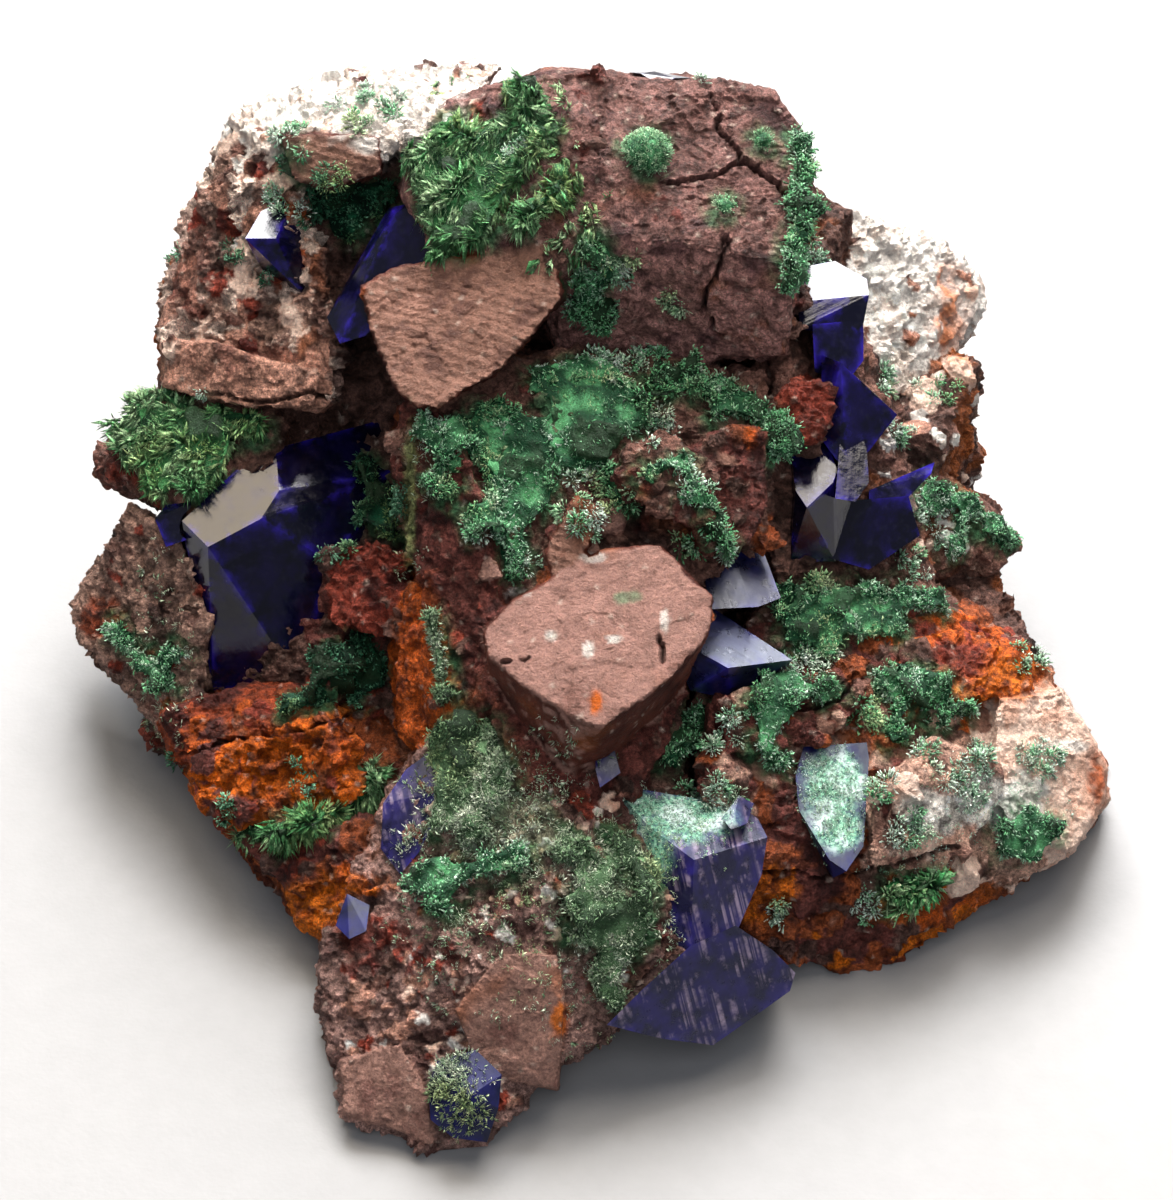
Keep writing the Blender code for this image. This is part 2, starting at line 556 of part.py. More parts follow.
def single_crystals():
    """Crystals standing alone: name and body."""
    return {
        "azurite_upper_blade": crystal(
            facet((-21.8, 62.5, -6), (-15, 75, -5.5), (-13.5, 69.8, -3),
                  (-17, 74), (-12.8, 72.5), (-19.5, 63.2)),
            [(-23, 64.8, -9), (-17.5, 74.5, -9), (-21.8, 63.8, -17), (-16.5, 74, -17),
             (-13, 71.8, -15)]),
        "azurite_left_chip": crystal(
            facet((-30.2, 71.8, -9), (-26.2, 75.5, -13), (-27.5, 71.8, -9.6),
                  (-28.8, 74.2), (-26.5, 74)),
            [(-29.8, 70.8, -16), (-25.2, 74.8, -18), (-23.5, 70, -13), (-25.2, 67, -12),
             (-28, 67.8, -15)]),
        "azurite_left_rim": crystal(
            [(-38.2, 47, -14), (-37.2, 48.2, -14.5), (-35, 48.5, -13), (-35.2, 45.2, -11.5),
             (-37.2, 44.5, -12.5), (-37.8, 46.5, -20), (-35, 47, -20)]),
        "azurite_coated_prism": crystal(
            facet((19.2, 26.8, -2), (24.8, 27.2, -3), (23, 15.8, 3.2),
                  (25, 25.8), (24.5, 18), (21.5, 16.8), (18.8, 21.2), (18.5, 24.2)),
            [(21.8, 15.2, 0.5), (18.8, 20, -3), (19, 25.8, -12), (24.8, 26.5, -13),
             (24.2, 17.8, -8), (22, 15.5, -6), (18.8, 20.8, -9)]),
        "azurite_lower_left": crystal(
            [(-13, 27, 1), (-12.2, 23, 3.5), (-14.8, 17.5, 4.5), (-16.5, 15.5, 4.5),
             (-18.2, 17.8, 3.2), (-18, 21.8, 2), (-16, 24.8, 1), (-13, 26, -9),
             (-12.5, 22, -8), (-16.5, 16, -6), (-17.8, 19.5, -8), (-16.5, 24, -9)]),
        "azurite_under_slab": crystal(
            [(0.8, 26.8, 5.5), (2.2, 27.5, 5), (3, 24.5, 6), (1.2, 23.2, 7), (0.8, 24.8, 6.5),
             (1.2, 26.5, -4), (2.5, 27, -4), (2, 24, -4)]),
        "azurite_foot": crystal(
            [(-13.2, -1, 11), (-9.8, 0, 11), (-7.5, -2.2, 11.5), (-7.8, -5.2, 11.8),
             (-8.8, -8.2, 11.2), (-11.8, -7.8, 11.4), (-13.8, -6.2, 11.5), (-14, -3, 11.5),
             (-10.2, -4, 13.2), (-13, -1.8, 3), (-8.5, -1.8, 3), (-8.5, -6.5, 4),
             (-13, -6, 4)]),
        "azurite_foot_chip": crystal(
            [(-22.2, 11, 4.5), (-21.2, 13.8, 3.5), (-19.2, 12.8, 4.5), (-19.5, 10.5, 6),
             (-21, 9.8, 6), (-21.2, 11, -4), (-20, 12.5, -4), (-19.8, 10.5, -4)]),
        "azurite_crest": crystal(
            [(3.8, 86.5, -11), (4.8, 86.4, -8), (6, 86.6, -9.5), (7.8, 86, -8), (9.2, 86, -11),
             (6.5, 85.4, -7), (4.2, 85, -16), (8.8, 84.8, -17), (6.5, 86.4, -17)]),
    }


# ---- malachite crusts ----
# Each spot is (a, u, radius): a lump seated on the stone where the face line meets it.
CRUSTS = {
    "malachite_shoulder": [
        (-13.5, 83.5, 1.8), (-11.5, 80.5, 2.6), (-14, 78, 2.4), (-10.5, 76.5, 2.8),
        (-13, 74.5, 2.2), (-9.5, 73, 2.4), (-11.8, 71, 1.8), (-8, 80.5, 2.0), (-6.5, 77, 2.2),
        (-5, 73.8, 2.0), (-4, 80, 1.8), (-5.5, 84, 1.8), (-2.5, 76, 1.6)],
    "malachite_chain": [
        (0, 82.5, 1.7), (0.3, 79.5, 1.3), (-1.5, 77.5, 1.2), (-0.5, 74.5, 1.4), (0.5, 71.8, 1.5),
        (2.4, 70, 1.3), (1.2, 67.5, 1.3), (2, 65.2, 1.2), (-1, 69, 1.6), (-0.8, 66, 1.4)],
    "malachite_block_rim": [
        (18.6, 80.5, 1.2), (18.8, 77.5, 1.4), (18.6, 74.5, 1.4), (18.4, 71.6, 1.4),
        (18, 68.6, 1.3)],
    "malachite_left_hollow": [
        (-25, 78.5, 2.0), (-22, 77, 2.4), (-19.5, 78.5, 2.0), (-18, 75, 2.4), (-21, 73.5, 2.4),
        (-24.5, 74.5, 2.0), (-29, 79.5, 1.8), (-31, 76.5, 1.6)],
    "malachite_centre": [
        (-13, 55, 2.4), (-10.5, 52.5, 2.8), (-12.5, 50, 2.2), (-8, 55.5, 2.6), (-7.5, 50.5, 2.6),
        (-9, 47, 2.4), (-4.5, 53.5, 2.6), (-4, 49.5, 2.2), (-6.5, 44.5, 2.0), (-7, 41.5, 1.8),
        (-1, 56, 2.6), (-0.5, 59.8, 2.2), (2.5, 58.5, 2.4), (4.5, 55.8, 2.0), (-3.5, 58.5, 2.4),
        (1.5, 53.8, 2.2), (-1, 52, 2.0), (1.8, 50.8, 1.6), (3.2, 48.4, 1.4)],
    "malachite_field_rim": [
        (6, 58.5, 2.2), (9, 58.8, 2.2), (12, 57.8, 2.2), (15, 56.6, 1.8), (16.4, 53.5, 1.6),
        (16.2, 50.5, 1.5), (15.8, 47.5, 1.6), (14.6, 45, 1.5), (12, 56, 1.6)],
    "malachite_field_lump": [
        (5.6, 50.6, 1.4), (8.2, 51.6, 1.5), (9.4, 49, 1.6), (10.5, 46.6, 1.6), (12.2, 44.5, 1.5),
        (7.2, 47.2, 1.3), (5, 46, 1.2)],
    "malachite_left_lawn": [
        (-38.5, 56.5, 2.4), (-35.5, 56, 2.4), (-32.5, 56.3, 2.2), (-29.5, 55.6, 2.0),
        (-38.5, 53, 2.6), (-35.5, 52.8, 2.4), (-32.5, 53.5, 2.2), (-37, 50.5, 2.2),
        (-34, 50.3, 2.0), (-40.3, 54.5, 1.8)],
    "malachite_hollow_tufts": [
        (-22.8, 50, 1.8), (-20, 50.5, 2.2), (-18, 48.5, 2.0), (-20.5, 47.2, 1.8),
        (-17, 45.8, 1.6)],
    "malachite_hollow_floor": [
        (-25, 33.5, 2.0), (-22.5, 34.5, 2.2), (-20, 35.5, 2.4), (-18, 33, 2.2),
        (-20.5, 31.5, 2.2), (-23.5, 30.8, 2.0), (-18.5, 38, 1.8), (-26, 30.3, 1.6)],
    "malachite_groove": [
        (-29.5, 19.5, 1.6), (-26.5, 19.2, 1.8), (-23.5, 20.2, 1.8), (-20.8, 21, 1.8),
        (-18.5, 20.2, 1.6), (-19.5, 23.8, 1.6)],
    "malachite_slab_foot": [
        (4, 31, 1.6), (5.8, 29.2, 2.2), (8.5, 29.5, 2.0), (7, 26.8, 2.2), (9.8, 26.5, 2.0),
        (4.6, 26.4, 1.8), (11.3, 24.4, 1.6), (11, 28.6, 1.6)],
    "malachite_terrace_back": [
        (16.5, 39.8, 1.8), (18.8, 38.6, 2.2), (21.5, 39.2, 2.4), (24.5, 40, 2.4), (27.5, 40, 2.2),
        (30.5, 39, 1.8), (18, 36.2, 2.0), (20.8, 36, 2.2), (23.8, 37, 2.2), (26.8, 37, 2.0)],
    "malachite_terrace_left": [
        (15.5, 27.3, 1.6), (16, 31.2, 2.0), (14.8, 30.3, 1.8), (18, 31.8, 1.8), (17.6, 29.6, 1.6),
        (19.4, 33.4, 1.8), (21, 31.4, 1.6), (16.8, 25.2, 1.6), (14, 32.6, 1.4)],
    "malachite_terrace_right": [
        (25.8, 32.4, 1.8), (28.4, 32.2, 2.0), (31, 31.8, 2.0), (30.5, 29, 1.6), (33, 30, 1.6),
        (27, 30, 1.6), (26.8, 27.2, 1.6)],
    "malachite_mid_lobe": [
        (27.5, 47.8, 2.2), (30.3, 48.8, 2.2), (33, 47.8, 2.0), (35.4, 46.2, 1.8),
        (29.4, 45.8, 2.0), (32, 44.6, 1.8), (26.5, 52, 1.8), (28.2, 50.6, 1.6), (36.8, 44.9, 1.2)],
    "malachite_sprays": [
        (27, 14.8, 1.5), (28.8, 14.2, 1.5), (30.3, 15.6, 1.3), (27.6, 12.9, 1.2)],
    "malachite_shrub": [
        (36.6, 19.8, 1.5), (38.6, 20.4, 1.9), (40.6, 19.4, 1.7), (39, 17.8, 1.6),
        (36.8, 17.6, 1.4)],
    "malachite_mound": [
        (-12, 28.6, 1.8), (-9.6, 28.8, 2.2), (-7.4, 28.2, 1.9), (-12.4, 26, 2.0),
        (-9.8, 25.8, 2.6), (-7.4, 25, 2.2), (-11.4, 23, 2.2), (-8.6, 22.6, 2.4),
        (-12.6, 20.4, 1.8), (-9.6, 19.4, 2.2)],
    "malachite_lower_left": [
        (-14.8, 14.4, 1.5), (-12.6, 12.8, 1.6), (-12.6, 15.6, 1.8), (-10.4, 15.2, 1.6),
        (-8.2, 16.4, 1.6), (-6, 16.6, 1.8)],
    "malachite_septum": [
        (-13.3, 38.6, 1.1), (-13.2, 36.2, 1.2), (-12.7, 33.8, 1.2), (-12.1, 31.4, 1.1)],
    "malachite_left_rim": [
        (-41.6, 37.4, 1.5), (-40, 36, 1.5), (-38.4, 34, 1.6), (-37, 32, 1.5), (-36, 35, 1.5)],
    "malachite_lower_field": [
        (-1.8, 17.6, 1.9), (0.4, 15.2, 1.9), (3, 17.2, 2.0), (5.4, 15, 1.9),
        (2, 12.4, 1.9), (-0.8, 10.4, 1.8), (3.4, 9.6, 1.8), (1.2, 6.8, 1.8), (4.6, 12.2, 1.6),
        (-1.2, 13, 1.6), (2.8, 4.4, 1.4)],
}

# Crusts of the hidden back: (x, height, radius).
BACK_CRUSTS = {
    "malachite_back_high": [
        (-12, 36, 2.2), (-9, 34, 2.4), (-7, 31, 2.2), (-10, 29, 2.2), (-5, 34.5, 1.8)],
    "malachite_back_low": [
        (17, 26, 2.0), (20, 24, 2.4), (18, 21, 2.2), (22, 21, 2.0), (21, 17.5, 1.8)],
}

# Round malachite lumps: name, seat on the face, radius and how far the middle stands out.
BALLS = {
    "malachite_ball_large": (5.3, 79, 2.3, 1.0),
    "malachite_ball_right": (15.5, 80.2, 1.15, 0.5),
    "malachite_ball_low": (12.2, 74.4, 1.15, 0.5),
}


def ball(centre, radius, cuts, seed):
    """Slightly uneven lump."""
    bm = bmesh.new()
    bmesh.ops.create_icosphere(bm, subdivisions=cuts, radius=radius)
    offset = Vector((seed * 1.3, seed * 2.9, seed * 0.7))
    for vert in bm.verts:
        uneven = 1.0 + 0.22 * noise.noise(vert.co / radius * 1.4 + offset)
        vert.co = vert.co * uneven + centre
    mesh = bpy.data.meshes.new("ball")
    bm.to_mesh(mesh)
    bm.free()
    return mesh


class Seat:
    """Finds where a face line meets the stone."""

    def __init__(self, meshes):
        whole = joined(meshes, "seat")
        bm = bmesh.new()
        bm.from_mesh(whole)
        self.tree = BVHTree.FromBMesh(bm)
        bm.free()

    def behind(self, x, z):
        """Seat on the hidden back of the stone."""
        start = Vector((x + SHIFT_X, 200, z))
        place, normal, _, _ = self.tree.ray_cast(start, Vector((0, -1, 0)))
        return place, normal

    def find(self, a, u):
        """Seat on the stone at a, u of the face, drawn inwards where that is off its edge."""
        start = eye_point()
        place = None
        inwards = 1.0
        while place is None:
            aim = at(a * inwards, FACE_MID + (u - FACE_MID) * inwards, 0.0)
            place, normal, _, _ = self.tree.ray_cast(start, (aim - start).normalized())
            inwards -= 0.02
        return place, normal


def neck(start, end, radius, seed):
    """Low lumps that tie two neighbouring lumps together."""
    count = int((end - start).length / (radius * 0.6))
    lumps = []
    for step in range(1, count):
        middle = start.lerp(end, step / count)
        lumps.append(ball(middle, radius * 0.62, 1, seed + step))
    return lumps


def crust(find, spots, seed):
    """Lumpy crust of malachite on the stone."""
    lumps = []
    last = None
    for index, (a, u, radius) in enumerate(spots):
        place, normal = find(a, u)
        middle = place + normal * (radius * 0.1)
        lumps.append(ball(middle, radius, 2, seed * 40 + index))
        if last is not None and (middle - last).length < 6.5:
            lumps += neck(last, middle, radius, seed * 40 + index)
        last = middle
    skin = fused(joined(lumps, "lumps"), 0.45)
    skin = roughened(tidy(skin), 0.25, 0.2, seed)
    return tidy(thinned(skin, 36 + CRUST_TRIS * len(spots)))


# ---- finishes ----
def finish(name, colour, roughness):
    """Plain surface finish."""
    material = bpy.data.materials.new(name)
    material.use_nodes = True
    surface = material.node_tree.nodes["Principled BSDF"]
    surface.inputs["Base Color"].default_value = (*colour, 1.0)
    surface.inputs["Roughness"].default_value = roughness
    surface.inputs["Metallic"].default_value = 0.0
    material.diffuse_color = (*colour, 1.0)
    return material


def to_node(name, mesh, colour, roughness, collection):
    """Named object in metres with its own finish."""
    mesh.transform(Matrix.Scale(SCALE, 4))
    mesh.name = name
    node = bpy.data.objects.new(name, mesh)
    collection.objects.link(node)
    mesh.materials.clear()
    mesh.materials.append(finish(name + "_finish", colour, roughness))
    return node


# ---- assembly ----
def crystal_groups():
    """Crystals of each azurite body; those of one list have grown together."""
    groups = {
        "azurite_left_giant": left_giant(),
        "azurite_right_cluster": cluster_right(),
        "azurite_middle_pair": middle_pair(),
        "azurite_lower_right": lower_right(),
    }
    for name, mesh in single_crystals().items():
        groups[name] = [mesh]
    return groups


def size_of(mesh):
    """Volume of a closed mesh."""
    bm = bmesh.new()
    bm.from_mesh(mesh)
    volume = bm.calc_volume()
    bm.free()
    return volume


def cut(mesh, tool):
    """Mesh less the tool, with the thorough method where the plain one goes astray."""
    if not near(mesh, tool):
        return mesh
    whole = size_of(mesh)
    least = whole - 1.2 * abs(size_of(tool)) - 1.0
    result = mesh
    for overlapping in (False, True):
        result = combined(mesh, tool, "DIFFERENCE", overlapping)
        if len(result.polygons) and least <= size_of(result) <= whole * 1.001:
            break
    return result


def set_in(stone, tools):
    """Stone with a socket for every body set in it."""
    for group in tools.values():
        for tool in group:
            stone = cut(stone, tool)
    return tidy(stone)


def malachite(stone, sockets):
    """Crust and ball bodies seated on the stone, kept clear of it, the azurite and each other."""
    seat = Seat([stone])
    keep_out = grown(stone, FIT)
    shapes = {}
    for index, (name, spots) in enumerate(CRUSTS.items()):
        shapes[name] = crust(seat.find, spots, index + 1)
    for index, (name, spots) in enumerate(BACK_CRUSTS.items()):
        shapes[name] = crust(seat.behind, spots, index + 51)
    for index, (name, (a, u, radius, out)) in enumerate(BALLS.items()):
        place, normal = seat.find(a, u)
        shapes[name] = ball(place + normal * out, radius, 2, 90 + index)
    bodies = {}
    earlier = {}
    for name, shape in shapes.items():
        body = set_in(tidy(cut(shape, keep_out)), sockets)
        bodies[name] = set_in(body, earlier)
        earlier[name] = [grown(shape, FIT)]
    return bodies


def build():
    """Models the whole specimen."""
    for item in list(bpy.data.objects):
        bpy.data.objects.remove(item)
    noise.seed_set(11)
    stone = rock_body()
    clear = block_below(BASE_Z + 0.4)
    groups = crystal_groups()
    sockets = {name: [grown(mesh, FIT) for mesh in group] for name, group in groups.items()}
    bodies = malachite(stone, sockets)
    stone = set_in(stone, sockets)
    collection = bpy.data.collections.new("azurite_specimen")
    bpy.context.scene.collection.children.link(collection)
    to_node("matrix_rock", stone, (0.10, 0.045, 0.035), 0.85, collection)
    placed = {}
    for name, group in groups.items():
        body = group[0]
        for other in group[1:]:
            body = combined(body, other, "UNION")
        body = set_in(cut(body, clear), placed)
        placed[name] = sockets[name]
        to_node(name, body, (0.012, 0.012, 0.10), 0.15, collection)
    for name, body in bodies.items():
        to_node(name, body, (0.03, 0.22, 0.10), 0.75, collection)


build()
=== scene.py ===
"""Looks of the azurite and malachite specimen: rock, needles, crystals, floor, light and camera."""
import math
from itertools import product

import bmesh
import bpy
import numpy as np
from mathutils import Matrix, Vector, noise
from mathutils.bvhtree import BVHTree


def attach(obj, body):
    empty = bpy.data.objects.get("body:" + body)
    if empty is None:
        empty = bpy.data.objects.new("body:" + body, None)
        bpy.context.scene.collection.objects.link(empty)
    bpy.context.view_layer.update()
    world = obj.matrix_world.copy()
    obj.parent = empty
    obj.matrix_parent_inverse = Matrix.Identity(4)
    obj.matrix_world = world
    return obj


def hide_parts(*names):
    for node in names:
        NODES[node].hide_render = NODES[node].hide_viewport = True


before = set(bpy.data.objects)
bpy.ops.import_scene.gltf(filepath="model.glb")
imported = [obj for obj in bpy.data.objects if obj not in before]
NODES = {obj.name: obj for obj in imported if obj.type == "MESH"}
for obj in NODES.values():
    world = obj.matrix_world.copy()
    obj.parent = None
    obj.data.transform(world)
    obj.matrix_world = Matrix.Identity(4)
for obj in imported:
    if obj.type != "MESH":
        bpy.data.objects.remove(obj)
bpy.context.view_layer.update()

# ---- layout of the show face, as in the part: a across, u up, w out, millimetres ----
FACE_LEAN = 42.0
EYE = 320.0                 # distance of the camera from the face
FACE_MID = 39.8             # height on the face that the camera looks at
SHIFT_Y = -33.4             # brings the layout over the middle of the base
MM = 0.001
LEAN_SIN = math.sin(math.radians(FACE_LEAN))
LEAN_COS = math.cos(math.radians(FACE_LEAN))
FACE_OUT = np.array((0.0, -LEAN_COS, LEAN_SIN))
FACE_DOWN = np.array((0.0, -LEAN_SIN, -LEAN_COS))
FOCAL_PIXELS = 3616.0       # focal length in pixels of the photograph
PHOTO_HEIGHT = 1200.0
SENSOR_HEIGHT = 36.0
ROCK_VOXEL = 0.32           # spacing of the rebuilt rock skin
ROCK_TRIANGLES = 540000     # what the rock skin is thinned to
EDGE_WAVER = 0.35           # how far blocks stray from their true outline
LEDGE_CHAMFER = 0.25        # share knocked off the corners of a ledge
NOISE_TURN = np.array(Matrix.Rotation(0.7, 3, Vector((1.0, 2.0, 0.5))))


def at(a, u, w):
    """Point of the show face layout, in millimetres."""
    fan = (EYE - w) / EYE
    v = FACE_MID + (u - FACE_MID) * fan
    return Vector((a * fan, v * LEAN_SIN - w * LEAN_COS + SHIFT_Y, v * LEAN_COS + w * LEAN_SIN))


def face_place(points):
    """a, u, w of an array of points in millimetres."""
    y = points[:, 1] - SHIFT_Y
    z = points[:, 2]
    v = y * LEAN_SIN + z * LEAN_COS
    w = z * LEAN_SIN - y * LEAN_COS
    fan = (EYE - w) / EYE
    return np.stack([points[:, 0] / fan, FACE_MID + (v - FACE_MID) / fan, w], axis=1)


def eye_point():
    """Fan point of the layout, where the camera stands."""
    y = FACE_MID * LEAN_SIN - EYE * LEAN_COS + SHIFT_Y
    return Vector((0.0, y, FACE_MID * LEAN_COS + EYE * LEAN_SIN))


def facet(first, second, third, *outline):
    """Corners of a flat facet: three placed, the outline carried to their plane."""
    rows = Matrix([(a, u, 1.0) for a, u, _ in (first, second, third)])
    depths = Vector([1.0 / (EYE - w) for _, _, w in (first, second, third)])
    plane = rows.inverted() @ depths
    corners = [first, second, third]
    for a, u in outline:
        corners.append((a, u, EYE - 1.0 / plane.dot(Vector((a, u, 1.0)))))
    return corners


def hull(points):
    """Convex body round the points as a bmesh."""
    bm = bmesh.new()
    for point in points:
        bm.verts.new(point)
    result = bmesh.ops.convex_hull(bm, input=bm.verts)
    spare = [item for item in result["geom_interior"] + result["geom_unused"]
             if isinstance(item, bmesh.types.BMVert)]
    bmesh.ops.delete(bm, geom=list(set(spare)), context="VERTS")
    bmesh.ops.recalc_face_normals(bm, faces=bm.faces)
    return bm


def clast(stain, depth, *front):
    """Angular block of one colour, from a facet outline run back along the face lines."""
    points = [at(a, u, w) for a, u, w in front]
    points += [at(a, u, w - depth) for a, u, w in front]
    return stain, hull(points)


def ledge(centre, size, yaw, pitch):
    """Umber block of the hidden sides, a box with its corners knocked off."""
    turn = Matrix.Rotation(math.radians(yaw), 3, "Z") @ Matrix.Rotation(math.radians(pitch), 3, "X")
    middle = Vector(centre) + Vector((0.0, SHIFT_Y, 0.0))
    points = []
    for signs in product((-1, 1), repeat=3):
        half = Vector([sign * span / 2 for sign, span in zip(signs, size)])
        uneven = LEDGE_CHAMFER * (0.6 + 0.8 * noise.random())
        for axis in range(3):
            corner = half.copy()
            corner[axis] *= 1.0 - uneven
            points.append(middle + turn @ corner)
    return "umber", hull(points)


# ---- rock: the same blocks as the solid, each with its own stain ----
def rock_top():
    """Dark square-shouldered block, its crown and the tan plate leaning on it."""
    return [
        clast("dark", 20, *facet((-2.5, 73.5, 2), (18.8, 69, 2.6), (7, 86, -3.6),
                         (5, 73.2), (-9, 84), (-3.5, 86.6), (12, 85.6), (16.5, 84.6),
                         (19.2, 80.5), (19.6, 76)),
              *facet((-2.5, 73.5, 2), (18.8, 69, 2.6), (8, 61, -8.5), (-2.5, 61), (17.5, 61.5))),
        clast("dark", 20, (-16, 80.5, -5), (-12, 84, -5), (-3.5, 86.5, -4), (1, 82.5, 1), (1, 72.5, 1),
              (-2.5, 66.5, -4), (-7.5, 71, 1), (-14, 71.5, -2), (-16, 76, -4)),
        clast("tan", 7, *facet((-20, 67.5, -0.5), (-3, 71.5, 1), (-13, 57, 4.6),
                        (-16.5, 69.3), (-10.5, 70), (-2, 66.5), (-6, 62), (-8, 60), (-15, 56.8),
                        (-17, 58.5), (-19, 63.5))),
    ]


def rock_centre():
    """Septum of rock, the sunken field beside it and the pinkish slab in front."""
    return [
        clast("maroon", 16, (-16.5, 57, 0), (-13, 56.5, 2), (-10.5, 53, 3), (-8, 43.5, 4), (-7, 36.5, 5),
              (-7.5, 31, 5), (-11.5, 27.5, 2), (-14, 31, 0), (-14.5, 40, 0), (-14, 47, -1),
              (-15.5, 53, -1)),
        clast("orange", 12, (-16.5, 40, -2), (-14, 43.5, 0), (-13, 36.5, 2), (-11, 31, 3),
              (-11.5, 26.5, 1), (-14, 25, 0), (-16.5, 28.5, -2), (-17, 32, -3)),
        clast("brown", 20, (-14.5, 56.5, 0), (-7.5, 61, -4), (1, 62, -6), (15.5, 60, -6), (16.5, 54, -4),
              (16, 45, -2), (10, 41.5, 0), (-2.5, 40.5, 2), (-8.5, 40, 2), (-12, 51.5, 1)),
        clast("maroon", 8, (8.5, 52.5, 2), (13, 55, 1), (16, 54.5, 0), (16, 48.5, 1), (14, 44.5, 2),
              (10, 44, 3)),
        clast("brown", 8, (3, 53, 3), (6.5, 54.5, 2), (10.5, 52, 3), (10, 47, 4), (6, 47, 4),
              (3.5, 49.5, 4)),
        clast("tan", 6, (-3.5, 44, 5), (-1, 49, 4.5), (1, 48, 4.5), (1.5, 47, 5), (-0.5, 43.5, 6),
              (-2, 41, 6), (-3, 42, 5.5)),
        clast("pink", 10, *facet((-9, 37, 8), (6.5, 44.5, 5.5), (1.5, 28.6, 12.2),
                         (-6.5, 39.8), (1.5, 44.2), (7.5, 42.6), (11.2, 40), (10.8, 37),
                         (7.6, 33), (-1, 29.4), (-6, 32.6), (-8.8, 35)),
              (-8.5, 33, 3), (-5, 27.5, 4), (-2, 23.5, 4), (1, 24.5, 4), (8.6, 32, 1),
              (10.8, 37.5, 1)),
        clast("maroon", 14, (-8.5, 32, 5), (-6, 25.5, 4), (-4, 17.5, 7), (1, 17, 7), (4.5, 22, 4),
              (3, 25.5, 3), (9, 32, 0)),
    ]


def rock_foot():
    """Rounded lower mass and the foot that reaches the table."""
    return [
        clast("mauve", 18, (-13, 29.5, 0), (-6, 30.5, 1), (-2.5, 23, 4), (2, 23, 4), (9, 17.5, 4),
              (10, 13.5, 8), (8.5, 8, 9), (1, 1, 8), (-2.5, -1, 9), (-7, -3.5, 9), (-11, 0, 10),
              (-14.5, 8, 9), (-21.5, 10.5, 3), (-21.5, 13.5, 2), (-17.5, 16, 2), (-17, 23, 0),
              (-2.5, 15, 11.5)),
        clast("mauve", 30, (-23, 10.5, 3), (-20, 11, 4), (-13, 8, 9), (-2.5, 8, 10), (-2.5, 0, 9.5),
              (-7, -4.5, 9.8), (-8.5, -8.5, 10), (-14, -9, 10), (-21.5, -5.5, 8), (-22, -1, 7),
              (-23.5, 4.5, 5)),
        clast("plate", 6, (-11.5, 3.5, 11), (-7.5, 8.5, 12), (-2.5, 8.5, 12), (-2, 3.5, 12), (-4, -1, 11.5),
              (-2.5, -3.5, 10), (-8.5, -2.5, 11), (-10.5, 0, 11)),
        clast("plate", 8, (-22, -1, 8.5), (-16.5, 0.5, 10), (-14, -4.5, 10.7), (-13.5, -8.5, 10.4),
              (-21.5, -5.5, 9)),
    ]


def rock_terrace():
    """Broad terrace low on the right, with its raised top, end, lip and bar."""
    return [
        clast("rust", 12, (11.5, 32, -2), (15.5, 40, -8), (27.5, 42, -16), (31, 40, -18), (39, 35.5, -18),
              (42, 31, -17), (45.5, 25.5, -15), (46, 22, -14), (42.5, 17.5, -9), (35.5, 15.5, -5),
              (24, 15.5, -1), (13, 16, 2), (10, 25.5, 2), (13.5, 10, -3), (19, 8.5, -4),
              (23.5, 6.5, -7), (27.5, 8, -8), (35.5, 14.5, -9)),
        clast("orange", 7, (28, 35.5, -11), (32, 37, -12), (39, 35.5, -14), (39.5, 32, -12), (33, 31, -9),
              (27.5, 32, -9)),
        clast("pale", 7, (36.5, 31, -9), (42, 32, -12), (46, 25, -12), (45.5, 22, -11), (43, 17.5, -8),
              (38.5, 18.5, -6), (35.5, 23, -6)),
        clast("lip", 6, (25, 22, 2), (30.5, 27.5, -3), (36.5, 25.5, -5), (36.5, 22, -4), (31.5, 16, -2),
              (25, 16, 1)),
        clast("maroon", 7, (11.5, 31, 1), (24, 34, -5), (24.5, 31, -4), (20.5, 27.5, -1), (12.5, 26, 2)),
    ]


def rock_right():
    """Ledges behind the terrace, stepping away at the right."""
    return [
        clast("brown", 9, (26, 50.5, -22), (30.5, 51.5, -25), (35.5, 48.5, -29), (38.5, 44.5, -29),
              (35.5, 42.5, -28), (30.5, 42, -24), (26, 43.5, -20)),
        clast("chalk", 12, (19, 73, -25), (23.5, 74, -28), (30.5, 71.5, -32), (34.8, 68.5, -34),
              (34.5, 64.5, -33), (32.5, 61, -32), (30.5, 58.5, -31), (27.5, 55, -29),
              (25, 51.5, -26), (19, 59.5, -20)),
        clast("brown", 8, (27.5, 57, -29), (31, 60, -31), (34, 53, -34), (31.5, 54, -32)),
        clast("brown", 16, (16.5, 60, -10), (19, 70, -16), (24, 63.5, -19), (27.5, 56, -21),
              (27.5, 47, -18), (30.5, 40.5, -17), (17, 40, -8), (16, 50.5, -6)),
        clast("red", 8, (17, 57.5, -4), (19, 59.5, -5), (21.5, 59, -6), (21.5, 56, -5), (20, 54, -4),
              (17.5, 54, -3)),
    ]


